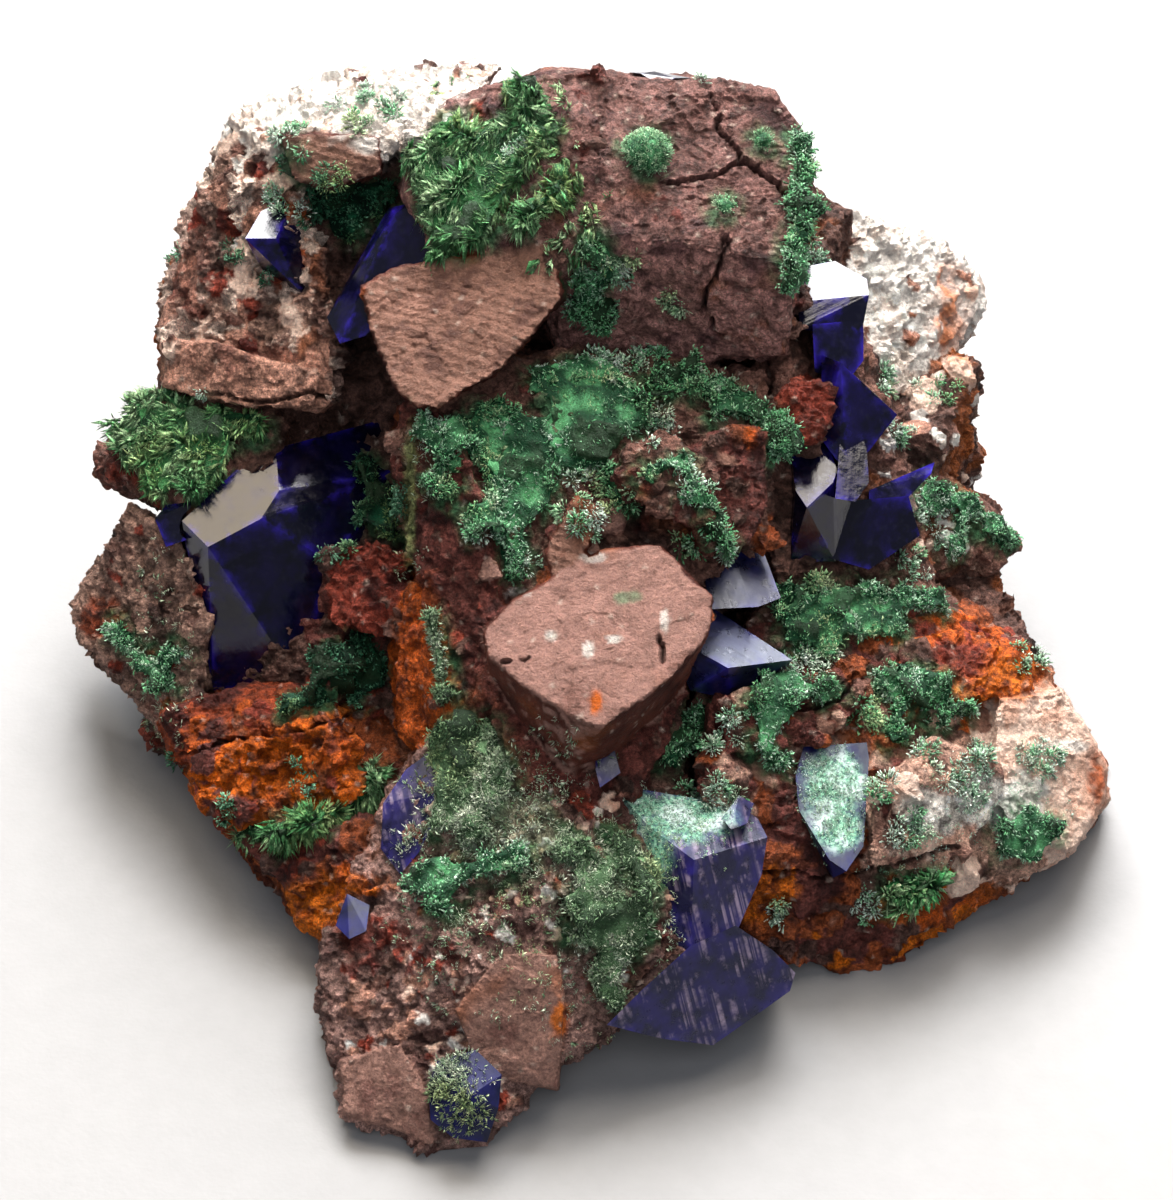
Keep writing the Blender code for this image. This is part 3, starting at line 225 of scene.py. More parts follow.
def rock_left():
    """Left shoulder, its shelf, the rim below it and the dark hollow between."""
    return [
        clast("chalk", 14, (-30.5, 83, -18), (-22.5, 86.5, -20), (-14.5, 87.5, -20), (-7.5, 87.5, -18),
              (-10.5, 84, -8), (-16.5, 80.5, -8), (-18.5, 78.5, -9), (-26, 80.5, -11),
              (-31, 78, -15)),
        clast("mottled", 18, (-31, 82.5, -16), (-26, 79.5, -12), (-25.5, 71, -12), (-21.5, 63.5, -10),
              (-22, 57.5, -10), (-23.5, 56.5, -11), (-37.5, 59, -18), (-37.5, 66.5, -20),
              (-34.5, 71, -20), (-34, 76, -19)),
        clast("tan", 9, (-27, 81.2, -9), (-18.5, 80.8, -7.5), (-18.2, 77.6, -7.5),
              (-22.5, 76, -8), (-26, 77.2, -9)),
        clast("rose", 8, (-37.5, 62.5, -15), (-33, 62.5, -12), (-23.5, 60, -8), (-24, 57, -8),
              (-30.5, 57, -11), (-37.5, 58.5, -15)),
        clast("umber", 16, (-26, 79.5, -17), (-15.5, 79.5, -15), (-14.5, 71, -14), (-16.5, 56.5, -16),
              (-22.5, 56.5, -18), (-25.5, 66.5, -19)),
        clast("brown", 14, (-40.5, 54, -20), (-38.5, 58, -18), (-28, 57.5, -14), (-27, 55, -14),
              (-28, 50.5, -13), (-34, 47, -13), (-38.5, 48.5, -17), (-42.5, 50.5, -21),
              (-43, 52.5, -21)),
        clast("hide", 12, (-40, 48, -17), (-36, 45, -13), (-34, 40, -12), (-34, 32.5, -14),
              (-35, 25.5, -14), (-38.5, 31, -17), (-44.5, 36.5, -21), (-45, 39, -21),
              (-41, 40, -18), (-38.5, 43.5, -17)),
        clast("umber", 14, (-36, 43.5, -19), (-25.5, 54, -18), (-16.5, 54, -15), (-15.5, 40, -11),
              (-16.5, 28.5, -9), (-25.5, 28.5, -14), (-34, 30, -18)),
        clast("red", 8, (-23, 43.5, -8), (-19, 45, -6), (-16, 43.5, -5), (-16.5, 39, -4), (-18, 37.5, -4),
              (-22.5, 38, -6)),
        clast("maroon", 6, (-24.5, 36.5, -8), (-21.5, 37, -7), (-22, 31, -7), (-24, 32, -8)),
    ]


def rock_side():
    """Ochre-stained blocks stacked down the lower left."""
    return [
        clast("rust", 16, (-37.5, 31, -15), (-16.5, 32, -11), (-13, 24, -5), (-16.5, 13.5, -4),
              (-22.5, 10, -6), (-25.5, 11.5, -9), (-33, 21, -13)),
        clast("redbar", 6, (-37.5, 30, -12), (-30.5, 32, -12), (-22.5, 32.5, -10), (-22.5, 29.5, -8),
              (-34, 25, -9), (-36.5, 26.5, -12)),
        clast("ochre", 9, (-35, 25, -10), (-31.5, 27, -7), (-21.5, 30, -4), (-19.5, 23, -4),
              (-26, 19.5, -5), (-31.5, 20.5, -7), (-34, 22, -9)),
        clast("maroon", 8, (-30.5, 18.5, -8), (-19, 20.5, -3), (-18, 16, -1), (-26, 14, -4)),
        clast("amber", 8, (-26.5, 14, -6), (-18, 16.5, -1), (-17.5, 13.5, -1), (-22.5, 10, -3),
              (-25.5, 11, -5)),
    ]


def rock_core():
    """Bulk of the stone behind the show face."""
    return [
        clast("umber", 70, (-30, 80, -28), (-9, 84, -20), (17, 82, -14), (19, 64, -17), (-35, 60, -30),
              (-14, 62, -22)),
        clast("umber", 70, (-37, 54, -32), (-15, 60, -20), (-12, 59, -14), (17, 60, -16), (17, 41, -10),
              (-12, 30, -8), (-16, 30, -14), (-36, 34, -28)),
        clast("umber", 70, (-34, 30, -22), (-14, 32, -8), (8, 32, -4), (10, 14, 2), (1, 3, 3), (-8, -3, 4),
              (-20, -2, 2), (-22, 10, -4), (-31, 22, -18)),
        clast("umber", 60, (16, 41, -14), (38, 33, -24), (42, 24, -20), (33, 16, -14), (14, 17, -6),
              (9, 30, -4)),
        clast("umber", 60, (16, 66, -24), (26, 62, -32), (29, 50, -28), (33, 44, -32), (30, 38, -24),
              (15, 40, -14)),
    ]


# Ledges of the hidden back and sides: middle, size, yaw and pitch.
BACK_LEDGES = [
    ((-24, 68, 38), (20, 13, 20), 14, -14),
    ((-2, 70, 39), (22, 13, 16), -8, -16),
    ((16, 67, 33), (16, 12, 18), -22, -6),
    ((-14, 72, 20), (20, 12, 18), 6, 8),
    ((10, 72, 17), (24, 12, 14), -5, -4),
    ((28, 64, 16), (18, 14, 20), -24, 8),
    ((-32, 60, 22), (14, 18, 20), 24, 4),
    ((-6, 71, 6), (30, 11, 10), 3, 6),
    ((22, 66, 5), (20, 14, 10), -16, 0),
    ((-28, 64, 6), (18, 14, 12), 22, 0),
    ((-34, 46, 8), (12, 22, 14), -10, 8),
    ((34, 42, 7), (14, 20, 10), 12, 0),
    ((1, 75, 28), (13, 8, 12), 20, 10),
    ((-20, 75, 31), (10, 7, 10), -20, 0),
]

# Planes that bound the hidden back, sides and underside: point and outward normal.
ENVELOPE = [
    ((0, 77.5, 20), (0, 1, 0.06)),
    ((0, 76, 50), (0, 1, 0.6)),
    ((-8, 71, 30), (-0.22, 1, 0.12)),
    ((14, 70, 24), (0.3, 1, 0.1)),
    ((-30, 68, 20), (-0.75, 1, 0.15)),
    ((30, 71, 12), (0.7, 1, 0.2)),
    ((36, 62, 16), (1, 0.45, 0.35)),
    ((-39, 50, 20), (-1, 0.25, -0.2)),
    ((0, 70, 4), (0, 0.75, -1)),
    ((-33, 42, 3), (-1, 0.1, -0.8)),
    ((38, 40, 3), (1, 0.05, -0.9)),
    ((-22, 14, 2), (-0.7, -0.8, -0.8)),
    ((20, 12, 2), (0.5, -1, -0.9)),
    ((0, 0, -3), (0, 0, -1)),
]
SAWN = [((0, 0, 0), (0, 0, -1))]


def srgb(red, green, blue):
    """Linear colour of a screen colour given from 0 to 255."""
    return ((np.array((red, green, blue)) / 255.0 + 0.055) / 1.055) ** 2.4


# ---- looks of the stone: colour, mottling colour, share of mottling, then the height of its
# lumps, grain and chips in millimetres ----
STAINS = {
    "dark": ((128, 93, 88), (86, 60, 60), 0.30, 0.22, 0.12, 0.20),
    "tan": ((152, 112, 97), (118, 84, 74), 0.30, 0.18, 0.08, 0.12),
    "pink": ((172, 130, 119), (142, 102, 92), 0.30, 0.10, 0.06, 0.08),
    "plate": ((170, 130, 118), (136, 98, 90), 0.32, 0.16, 0.08, 0.10),
    "maroon": ((116, 66, 60), (74, 42, 40), 0.40, 0.30, 0.15, 0.28),
    "brown": ((130, 94, 84), (80, 58, 52), 0.45, 0.40, 0.25, 0.42),
    "umber": ((114, 84, 76), (74, 56, 52), 0.40, 0.45, 0.30, 0.45),
    "orange": ((198, 94, 36), (110, 50, 32), 0.42, 0.35, 0.22, 0.32),
    "ochre": ((206, 100, 24), (96, 44, 26), 0.45, 0.40, 0.28, 0.50),
    "amber": ((226, 120, 32), (132, 60, 28), 0.30, 0.30, 0.20, 0.32),
    "rust": ((158, 84, 50), (98, 52, 40), 0.48, 0.35, 0.22, 0.40),
    "redbar": ((160, 74, 44), (92, 44, 38), 0.45, 0.35, 0.20, 0.32),
    "red": ((148, 68, 54), (92, 44, 40), 0.40, 0.35, 0.20, 0.45),
    "mauve": ((166, 132, 124), (98, 70, 66), 0.45, 0.50, 0.30, 0.50),
    "chalk": ((254, 248, 242), (251, 234, 222), 0.36, 0.36, 0.22, 0.42),
    "mottled": ((228, 204, 190), (150, 120, 110), 0.48, 0.50, 0.32, 0.60),
    "rose": ((190, 142, 124), (142, 98, 86), 0.35, 0.25, 0.12, 0.18),
    "hide": ((170, 136, 122), (110, 86, 78), 0.42, 0.35, 0.22, 0.45),
    "pale": ((250, 218, 200), (228, 182, 160), 0.28, 0.22, 0.10, 0.20),
    "lip": ((204, 164, 146), (156, 116, 104), 0.38, 0.30, 0.15, 0.24),
    "lime": ((150, 170, 110), (96, 120, 70), 0.40, 0.20, 0.10, 0.20),
    "frost": ((246, 242, 236), (206, 204, 194), 0.40, 0.20, 0.10, 0.20),
    "verdigris": ((112, 164, 126), (62, 110, 80), 0.45, 0.20, 0.10, 0.20),
}

# Stained patches in the face layout: place across and up, half width, half height, stain, strength.
PATCHES = [
    (45, 24, 1.6, 4.5, "orange", 0.9),
    (37.5, 32.5, 4.5, 2.6, "amber", 0.85),
    (32.8, 34.4, 3.6, 2.2, "red", 0.9),
    (41.5, 25, 5, 7.5, "pale", 0.85),
    (34, 20.5, 6, 4, "lip", 0.7),
    (36.6, 22, 4.6, 3, "frost", 1),
    (42.5, 26.8, 2.6, 0.9, "frost", 0.7),
    (30.3, 20.8, 3.8, 2.4, "frost", 0.9),
    (28.5, 17.8, 3, 1.2, "pale", 0.7),
    (33, 65.5, 2.6, 6.5, "amber", 0.85),
    (0.8, 30.8, 0.9, 1.3, "ochre", 1),
    (3.4, 40, 1.5, 0.7, "verdigris", 0.6),
    (-3.1, 36.6, 0.8, 0.5, "frost", 0.8),
    (0.2, 35.4, 0.5, 0.9, "frost", 0.7),
    (2.4, 36.4, 0.7, 0.4, "frost", 0.8),
    (6.9, 38, 0.4, 1.1, "frost", 0.7),
    (-6, 40.5, 1, 0.5, "frost", 0.6),
    (0.5, 43.6, 1.2, 0.5, "frost", 0.6),
    (-42.8, 38, 2.4, 2.2, "redbar", 0.9),
    (-41, 51.6, 2.4, 2, "red", 0.9),
    (-2.4, 2.8, 1.1, 1.8, "amber", 0.9),
    (15.8, 14, 3.4, 3, "amber", 0.9),
    (8, 2.6, 5, 1.6, "orange", 0.8),
    (-15.6, 48, 0.8, 8, "lime", 0.7),
    (-14.8, 37, 2.2, 6.5, "orange", 0.6),
    (14.5, 54, 1.1, 1.4, "orange", 0.9),
    (-22.5, 14.4, 5, 1.8, "amber", 0.8),
    (-26, 27, 5.5, 3, "ochre", 0.5),
    (-6.5, 19, 6, 4.5, "verdigris", 0.45),
    (-9.5, 24.5, 3.4, 4.5, "verdigris", 0.5),
    (2.5, 13, 6, 4, "verdigris", 0.4),
    (-20, 10, 3, 2.6, "red", 0.7),
    (-18, 83, 7, 4.5, "chalk", 0.9),
    (-35, 70, 3, 6, "red", 0.35),
    (-32, 60.5, 4.5, 2, "rose", 0.6),
    (-16, 65.5, 3, 1.5, "rose", 0.4),
]

# Rubble set in the stone, in the face layout: place, half width, half height, how many,
# smallest and largest, and their stains.
RUBBLE = [
    (-31, 71, 6, 9, 120, 0.9, 3, ("mottled", "rose", "pale", "brown", "hide", "red")),
    (-20, 83.5, 11, 3.5, 60, 0.9, 2.8, ("chalk", "pale", "rose", "red", "chalk")),
    (-6, 82, 7, 5, 50, 0.8, 2.2, ("dark", "maroon", "dark", "umber")),
    (11, 79, 8, 6, 26, 0.6, 1.4, ("dark", "maroon")),
    (2, 50, 12, 9, 110, 0.8, 2.6, ("brown", "tan", "umber", "maroon", "umber")),
    (-12, 42, 3.5, 14, 40, 0.8, 2.2, ("maroon", "umber", "red")),
    (-20, 38, 4.5, 9, 60, 0.9, 2.6, ("red", "umber", "brown", "maroon")),
    (-28, 21, 9, 9, 130, 0.8, 2.8, ("rust", "ochre", "maroon", "red", "umber")),
    (-38.5, 37, 4.5, 9, 70, 0.8, 2.4, ("hide", "umber", "brown", "red")),
    (-39, 52, 4, 4, 30, 0.8, 2.2, ("brown", "red", "umber")),
    (-4, 14, 12, 9, 240, 0.7, 2.4, ("mauve", "red", "pale", "rose", "chalk", "brown")),
    (-13, 1, 9, 8, 110, 0.8, 2.6, ("mauve", "chalk", "rose", "pale", "red")),
    (-18, 9, 4, 3.5, 36, 0.9, 1.9, ("red", "maroon", "red")),
    (4, 25, 7, 6, 60, 0.8, 2.2, ("maroon", "umber", "brown")),
    (22, 27, 10, 9, 140, 0.8, 2.6, ("maroon", "rust", "lip", "tan", "umber", "maroon")),
    (33, 34.5, 5, 2.5, 50, 0.7, 1.8, ("red", "maroon", "amber", "red")),
    (26, 12, 10, 4, 60, 0.8, 2.4, ("rust", "amber", "maroon", "umber")),
    (38, 24, 6, 6, 14, 0.7, 1.6, ("lip", "pale", "tan")),
    (30, 57, 6, 13, 60, 0.9, 2.6, ("chalk", "pale", "chalk", "rose")),
]
CLEAN_STAINS = ("tan", "pink", "plate", "pale")
SLAB_STAINS = ("tan", "pink")
QUIET_STAINS = (*CLEAN_STAINS, "chalk")
WHITE_STAINS = ("chalk", "pale")
GRAIN_SHARE = {"tan": 0.35, "pink": 0.35, "plate": 0.6, "pale": 0.4, "chalk": 0.32}

# Flat flakes lying on the stone, in the face layout: as the rubble.
FLAKES = [
    (22, 27, 11, 8, 46, 2.4, 5.6, ("maroon", "brown", "lip", "maroon", "rust")),
    (33, 19, 7, 4, 14, 2.2, 5, ("lip", "pale", "pale", "lip")),
    (26, 12, 9, 3, 12, 2.2, 4.6, ("rust", "maroon", "orange")),
    (-27, 22, 8, 8, 30, 2.2, 5, ("rust", "orange", "maroon", "red")),
    (-4, 12, 10, 7, 26, 1.8, 4.2, ("mauve", "rose", "maroon", "brown")),
    (-12, 2, 8, 6, 16, 1.8, 4.2, ("mauve", "rose", "brown")),
    (1, 50, 11, 9, 26, 2, 4.6, ("brown", "umber", "maroon", "plate")),
    (-31, 70, 6, 9, 24, 2, 4.6, ("mottled", "hide", "pale", "rose")),
    (-38, 38, 4, 8, 14, 2, 4.4, ("hide", "brown", "umber")),
    (30, 58, 6, 12, 18, 2, 4.6, ("chalk", "pale", "chalk", "rose")),
    (-5, 82, 8, 5, 12, 1.6, 3.4, ("dark", "maroon")),
]
HIDDEN_RUBBLE = 300
HIDDEN_FLAKES = 90
HIDDEN_OVERLAP = 0.35       # how far hidden fragments reach round to the front, radians
FLAKE_EXTRA = 3.5           # how much larger hidden flakes are than hidden chips
HIDDEN_STAINS = ("umber", "brown", "rust", "maroon", "umber", "hide")

# Screen colours washed over the stains, among them a painted glint and painted shade for the cracks, and
# two factors on the colour below, the first of them painted light on the dark block's front.
SLAB_FLANK = (120, 66, 54)
SLAB_FLANK_DARK = (78, 40, 36)
PAINTED_GLINT = (222, 204, 190)
OLD_WHITE = (132, 96, 80)
OCHRE_WASH = (168, 92, 42)
CHALK_WASH = (196, 164, 146)
GREEN_FILM = (70, 128, 88)
CRACK_PAINTED_SHADE = (26, 14, 14)
PAINTED_FRONT_LIGHT = 2.3            # painted light: brightening of the dark block's front
SEAM_DARK = 0.45            # darkening between the grains

# Relief of the stone, millimetres.
PIT_DEPTH = 0.9
STRATA_DEPTH = 0.05
STRATA_TURNS = 7.5          # how fast the tan plate's layers follow each other
WARP = 0.5                  # how far the broken cells are bent
BLEND_WAVER = 0.3           # how far the border between two stains strays
FAR = 99.0

# Cracks: half width, depth and the line they follow in the face layout.
CRACKS = [
    (0.18, 1, ((10.9, 84.5), (11.6, 82), (13, 79.8), (13.9, 78.9))),
    (0.22, 1.3, ((7.2, 77), (9.5, 77.3), (12, 77.7), (13.9, 78.9))),
    (0.32, 1.5, ((13.9, 78.9), (16.2, 77.2), (18.9, 74.8))),
    (0.41, 1.5, ((12.4, 71.8), (12.1, 70.4))),
    (0.21, 1.3, ((12.1, 70.4), (11.9, 69.5), (10.8, 67.2), (10.6, 65), (12, 63))),
    (0.20, 0.9, ((6.1, 37), (6.7, 35.2), (6.9, 33.2))),
    (0.17, 0.8, ((-7.4, 34.6), (-6, 34.2), (-4.6, 34.8))),
    (0.22, 1, ((24, 33.5), (22.5, 31), (19.5, 30), (16, 30.6))),
    (0.20, 0.8, ((-20.5, 57.2), (-24.5, 58.3), (-30, 57.4), (-36.5, 58.6))),
    (0.22, 1, ((-36, 26), (-31, 27.6), (-25, 28.4), (-20, 30.2))),
    (0.20, 0.8, ((14.6, 16), (20, 15.2), (26.5, 16), (33, 18.2))),
]


# ---- noise: the last number of each call is its seed ----
def scattered(cell, seed):
    """Pseudo-random number from 0 to 1 for each whole-number cell, by an integer hash."""
    code = cell[:, 0] * 73856093 ^ cell[:, 1] * 19349663 ^ cell[:, 2] * 83492791
    code = (code ^ (seed * 6151)) * 1274126177
    code = code ^ (code >> 15)
    code = code * 2246822519
    code = code ^ (code >> 13)
    return (code & 0xFFFFFF) / 0xFFFFFF


def swell(points, size, seed):
    """Smooth noise from -1 to 1 with features of the given size."""
    grid = points @ NOISE_TURN / size
    cell = np.floor(grid).astype(np.int64)
    part = grid - cell
    part = part * part * (3.0 - 2.0 * part)
    total = np.zeros(len(points))
    for corner in np.ndindex(2, 2, 2):
        step = np.array(corner)
        weight = np.prod(np.where(step == 1, part, 1.0 - part), axis=1)
        total += weight * scattered(cell + step, seed)
    return total * 2.0 - 1.0


def fractal(points, size, octaves, seed):
    """Sum of ever finer noise, about -1 to 1."""
    total = np.zeros(len(points))
    reach = 0.0
    for octave in range(octaves):
        share = 0.55 ** octave
        total += share * swell(points, size / 2.1 ** octave, seed + 17 * octave)
        reach += share
    return total / reach * 1.4


def cells(points, size, seed):
    """Scatter of seeds: distance to the nearest in cell sizes, its own number and the height
    of the tilted facet it carries."""
    grid = points / size
    cell = np.floor(grid).astype(np.int64)
    best = np.full(len(points), 9.0)
    number = np.zeros(len(points))
    tilt = np.zeros(len(points))
    for corner in np.ndindex(3, 3, 3):
        near = cell + np.array(corner) - 1
        away = grid - near
        for axis in range(3):
            away[:, axis] -= scattered(near, seed + 101 * axis)
        distance = np.sqrt((away ** 2).sum(axis=1))
        closer = distance < best
        chosen = near[closer]
        best[closer] = distance[closer]
        number[closer] = scattered(chosen, seed + 977)
        slope = [scattered(chosen, seed + 31 * axis + 5) - 0.5 for axis in range(3)]
        tilt[closer] = (away[closer] * np.stack(slope, axis=1)).sum(axis=1) * 2.0
    return best, number, tilt


def ramp(values, low, high):
    """0 below low, 1 above high and smooth between."""
    part = np.clip((values - low) / (high - low), 0.0, 1.0)
    return part * part * (3.0 - 2.0 * part)


def mixed(first, second, share):
    """Colours drawn from first towards second by share."""
    share = np.asarray(share)[:, None]
    return first * (1.0 - share) + second * share


# ---- meshes ----
def placed(name, data):
    """New object in the scene that holds the data."""
    holder = bpy.data.objects.new(name, data)
    bpy.context.scene.collection.objects.link(holder)
    return holder


def evaluated(mesh, setup):
    """Mesh after the modifiers that setup adds to a holder object."""
    holder = placed("holder", mesh)
    setup(holder)
    graph = bpy.context.evaluated_depsgraph_get()
    result = bpy.data.meshes.new_from_object(holder.evaluated_get(graph))
    bpy.data.objects.remove(holder)
    bpy.data.meshes.remove(mesh)
    return result


def fused(mesh, voxel):
    """Union of overlapping bodies as one even skin."""
    def setup(holder):
        remesh = holder.modifiers.new("fuse", "REMESH")
        remesh.mode = "VOXEL"
        remesh.voxel_size = voxel
    return evaluated(mesh, setup)


def thinned(mesh, ratio, plain):
    """Mesh reduced to a share of its triangles, more where plain is 1 than where it is 0."""
    def setup(holder):
        group = holder.vertex_groups.new(name="plain")
        group.add(np.flatnonzero(plain).tolist(), 1.0, "REPLACE")
        collapse = holder.modifiers.new("thin", "DECIMATE")
        collapse.ratio = ratio
        collapse.vertex_group = "plain"
        collapse.vertex_group_factor = 0.6
        collapse.use_collapse_triangulate = True
    return evaluated(mesh, setup)


def places_of(mesh):
    """Vertex coordinates as an array."""
    flat = np.empty(len(mesh.vertices) * 3, np.float32)
    mesh.vertices.foreach_get("co", flat)
    return flat.reshape(-1, 3).astype(float)


def normals_of(mesh):
    """Vertex normals as an array."""
    flat = np.empty(len(mesh.vertices) * 3, np.float32)
    mesh.vertex_normals.foreach_get("vector", flat)
    return flat.reshape(-1, 3).astype(float)


def triangles_of(mesh):
    """Corner numbers of the mesh's triangles as an array."""
    mesh.calc_loop_triangles()
    flat = np.empty(len(mesh.loop_triangles) * 3, np.int32)
    mesh.loop_triangles.foreach_get("vertices", flat)
    return flat.reshape(-1, 3)


def move_to(mesh, places):
    """Sets the vertex coordinates from an array."""
    mesh.vertices.foreach_set("co", places.astype(np.float32).ravel())
    mesh.update()


def mesh_from(name, places, triangles):
    """Triangle mesh from arrays."""
    mesh = bpy.data.meshes.new(name)
    count = len(triangles)
    mesh.vertices.add(len(places))
    mesh.loops.add(count * 3)
    mesh.polygons.add(count)
    mesh.vertices.foreach_set("co", places.astype(np.float32).ravel())
    mesh.loops.foreach_set("vertex_index", triangles.astype(np.int32).ravel())
    mesh.polygons.foreach_set("loop_start", np.arange(0, count * 3, 3, dtype=np.int32))
    mesh.update(calc_edges=True)
    return mesh


def paint(mesh, name, colours):
    """Stores one linear colour per vertex."""
    layer = mesh.attributes.new(name, "FLOAT_COLOR", "POINT")
    whole = np.ones((len(colours), 4), np.float32)
    whole[:, :3] = np.clip(colours, 0.0, 1.0)
    layer.data.foreach_set("color", whole.ravel())


def mark(mesh, name, values, domain="POINT"):
    """Stores one number per vertex, or per corner."""
    layer = mesh.attributes.new(name, "FLOAT", domain)
    layer.data.foreach_set("value", np.asarray(values, np.float32))


def piece_of(name, mesh, material, slot, *replaced):
    """Finished piece from a mesh in millimetres, riding on the specimen."""
    mesh.transform(Matrix.Scale(MM, 4))
    mesh.materials.clear()
    mesh.materials.append(material)
    piece = placed(name, mesh)
    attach(piece, "root")
    if replaced:
        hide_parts(*replaced)


def in_millimetres(meshes):
    """Meshes in metres as one bmesh in millimetres."""
    bm = bmesh.new()
    for mesh in meshes:
        bm.from_mesh(mesh)
    bmesh.ops.scale(bm, vec=(1 / MM, 1 / MM, 1 / MM), verts=bm.verts)
    return bm


def tree_of(meshes):
    """Search tree, in millimetres, of the surfaces of meshes in metres."""
    bm = in_millimetres(meshes)
    tree = BVHTree.FromBMesh(bm)
    bm.free()
    return tree


def solid_of(node):
    """Closed copy of a CAD node's skin as a bmesh in millimetres."""
    bm = in_millimetres([NODES[node].data])
    bmesh.ops.remove_doubles(bm, verts=bm.verts, dist=0.001)
    bmesh.ops.recalc_face_normals(bm, faces=bm.faces)
    return bm


def to_mesh(bm, name):
    """Mesh from a bmesh, which is freed."""
    mesh = bpy.data.meshes.new(name)
    bm.to_mesh(mesh)
    bm.free()
    return mesh


# ---- shader helpers ----
class Shader:
    """Builds one Principled material node by node."""

    def __init__(self, name, roughness, **fixed):
        self.material = bpy.data.materials.new(name)
        self.material.use_nodes = True
        self.nodes = self.material.node_tree.nodes
        self.links = self.material.node_tree.links
        self.surface = self.nodes["Principled BSDF"]
        self.surface.inputs["Roughness"].default_value = roughness
        for key, value in fixed.items():
            self.surface.inputs[key.replace("_", " ")].default_value = value
        self.place = self.nodes.new("ShaderNodeTexCoord").outputs["Object"]

    def attribute(self, name, output="Color"):
        """Colour or number stored on the mesh."""
        node = self.nodes.new("ShaderNodeAttribute")
        node.attribute_name = name
        return node.outputs[output]

    def noise(self, size, detail=3.0, roughness=0.6):
        """Noise with features of the given size in millimetres."""
        node = self.nodes.new("ShaderNodeTexNoise")
        node.inputs["Scale"].default_value = 1.0 / (size * MM)
        node.inputs["Detail"].default_value = detail
        node.inputs["Roughness"].default_value = roughness
        self.links.new(self.place, node.inputs["Vector"])
        return node.outputs["Fac"]

    def spots(self, size):
        """Distance to the nearest of a scatter of points of the given spacing."""
        node = self.nodes.new("ShaderNodeTexVoronoi")
        node.inputs["Scale"].default_value = 1.0 / (size * MM)
        self.links.new(self.place, node.inputs["Vector"])
        return node.outputs["Distance"]

    def spread(self, value, low, high, start=0.0, end=1.0):
        """Value carried from low and high to start and end."""
        node = self.nodes.new("ShaderNodeMapRange")
        for key, number in (("From Min", low), ("From Max", high), ("To Min", start), ("To Max", end)):
            node.inputs[key].default_value = number
        self.links.new(value, node.inputs["Value"])
        return node.outputs["Result"]

    def sums(self, operation, first, second):
        """Two values brought together by a maths operation."""
        node = self.nodes.new("ShaderNodeMath")
        node.operation = operation
        self.links.new(first, node.inputs[0])
        self.links.new(second, node.inputs[1])
        return node.outputs["Value"]

    def blend(self, share, first, second, mode="MIX"):
        """Two colours mixed by a share; each is a value or the output of a node."""
        node = self.nodes.new("ShaderNodeMix")
        node.data_type = "RGBA"
        node.blend_type = mode
        sockets = {item.identifier: item for item in node.inputs}
        for key, value in (("Factor_Float", share), ("A_Color", first), ("B_Color", second)):
            if isinstance(value, float):
                sockets[key].default_value = value
            elif isinstance(value, tuple):
                sockets[key].default_value = (*value, 1.0)
            else:
                self.links.new(value, sockets[key])
        outputs = {item.identifier: item for item in node.outputs}
        return outputs["Result_Color"]

    def relief(self, height, depth, below=None):
        """Bump of the given depth in millimetres."""
        node = self.nodes.new("ShaderNodeBump")
        node.inputs["Distance"].default_value = depth * MM
        self.links.new(height, node.inputs["Height"])
        if below is not None:
            self.links.new(below, node.inputs["Normal"])
        return node.outputs["Normal"]

    def feed(self, key, value):
        """Leads a node's output to an input of the surface."""
        self.links.new(value, self.surface.inputs[key])


# ---- rock skin ----
def trimmed(bm, planes):
    """Convex body cut back to the inner side of each plane."""
    for point, normal in planes:
        place = Vector(point) + Vector((0.0, SHIFT_Y, 0.0))
        geom = bm.verts[:] + bm.edges[:] + bm.faces[:]
        bmesh.ops.bisect_plane(bm, geom=geom, plane_co=place, plane_no=Vector(normal),
                               clear_outer=True)
    points = [vert.co.copy() for vert in bm.verts]
    bm.free()
    return hull(points)


def stone_blocks():
    """Every block of the stone as its stain and its convex body."""
    noise.seed_set(11)
    core = rock_core()
    sides = rock_right() + rock_left() + [ledge(*row) for row in BACK_LEDGES]
    front = rock_top() + rock_centre() + rock_foot() + rock_terrace() + rock_side()
    blocks = []
    for group, planes in ((core, ENVELOPE + SAWN), (sides, ENVELOPE[:2] + SAWN), (front, SAWN)):
        blocks += [(stain, trimmed(bm, planes)) for stain, bm in group]
    return blocks


def depth_in(bm, places):
    """Height of each place over a convex body's skin, negative inside it."""
    bm.normal_update()
    normals = np.array([face.normal[:] for face in bm.faces])
    offsets = np.array([face.normal.dot(face.verts[0].co) for face in bm.faces])
    return (places @ normals.T - offsets).max(axis=1)


def near_lines(places, lines, reach):
    """Distance of each place to the nearest of some straight lines, reach where it is further."""
    best = np.full(len(places), reach)
    for start, end in lines:
        first = np.array(start)
        along = np.array(end) - first
        share = np.clip((places - first) @ along / (along @ along), 0.0, 1.0)
        away = places - first - share[:, None] * along
        best = np.minimum(best, np.sqrt((away ** 2).sum(axis=1)))
    return best


def patch_reach(face, a, u, width, height):
    """Distance from a patch's middle in the face layout, 1 at its edge."""
    return np.hypot((face[:, 0] - a) / width, (face[:, 1] - u) / height)


def of_stain(owner, *stains):
    """Which places belong to the named stains."""
    return np.isin(owner, [list(STAINS).index(stain) for stain in stains])


def gathered(blocks):
    """All the blocks in one bmesh, and the face count after each."""
    bm = bmesh.new()
    ends = []
    for _, block in blocks:
        part = bpy.data.meshes.new("block")
        block.to_mesh(part)
        bm.from_mesh(part)
        bpy.data.meshes.remove(part)
        ends.append(len(bm.faces))
    return bm, ends


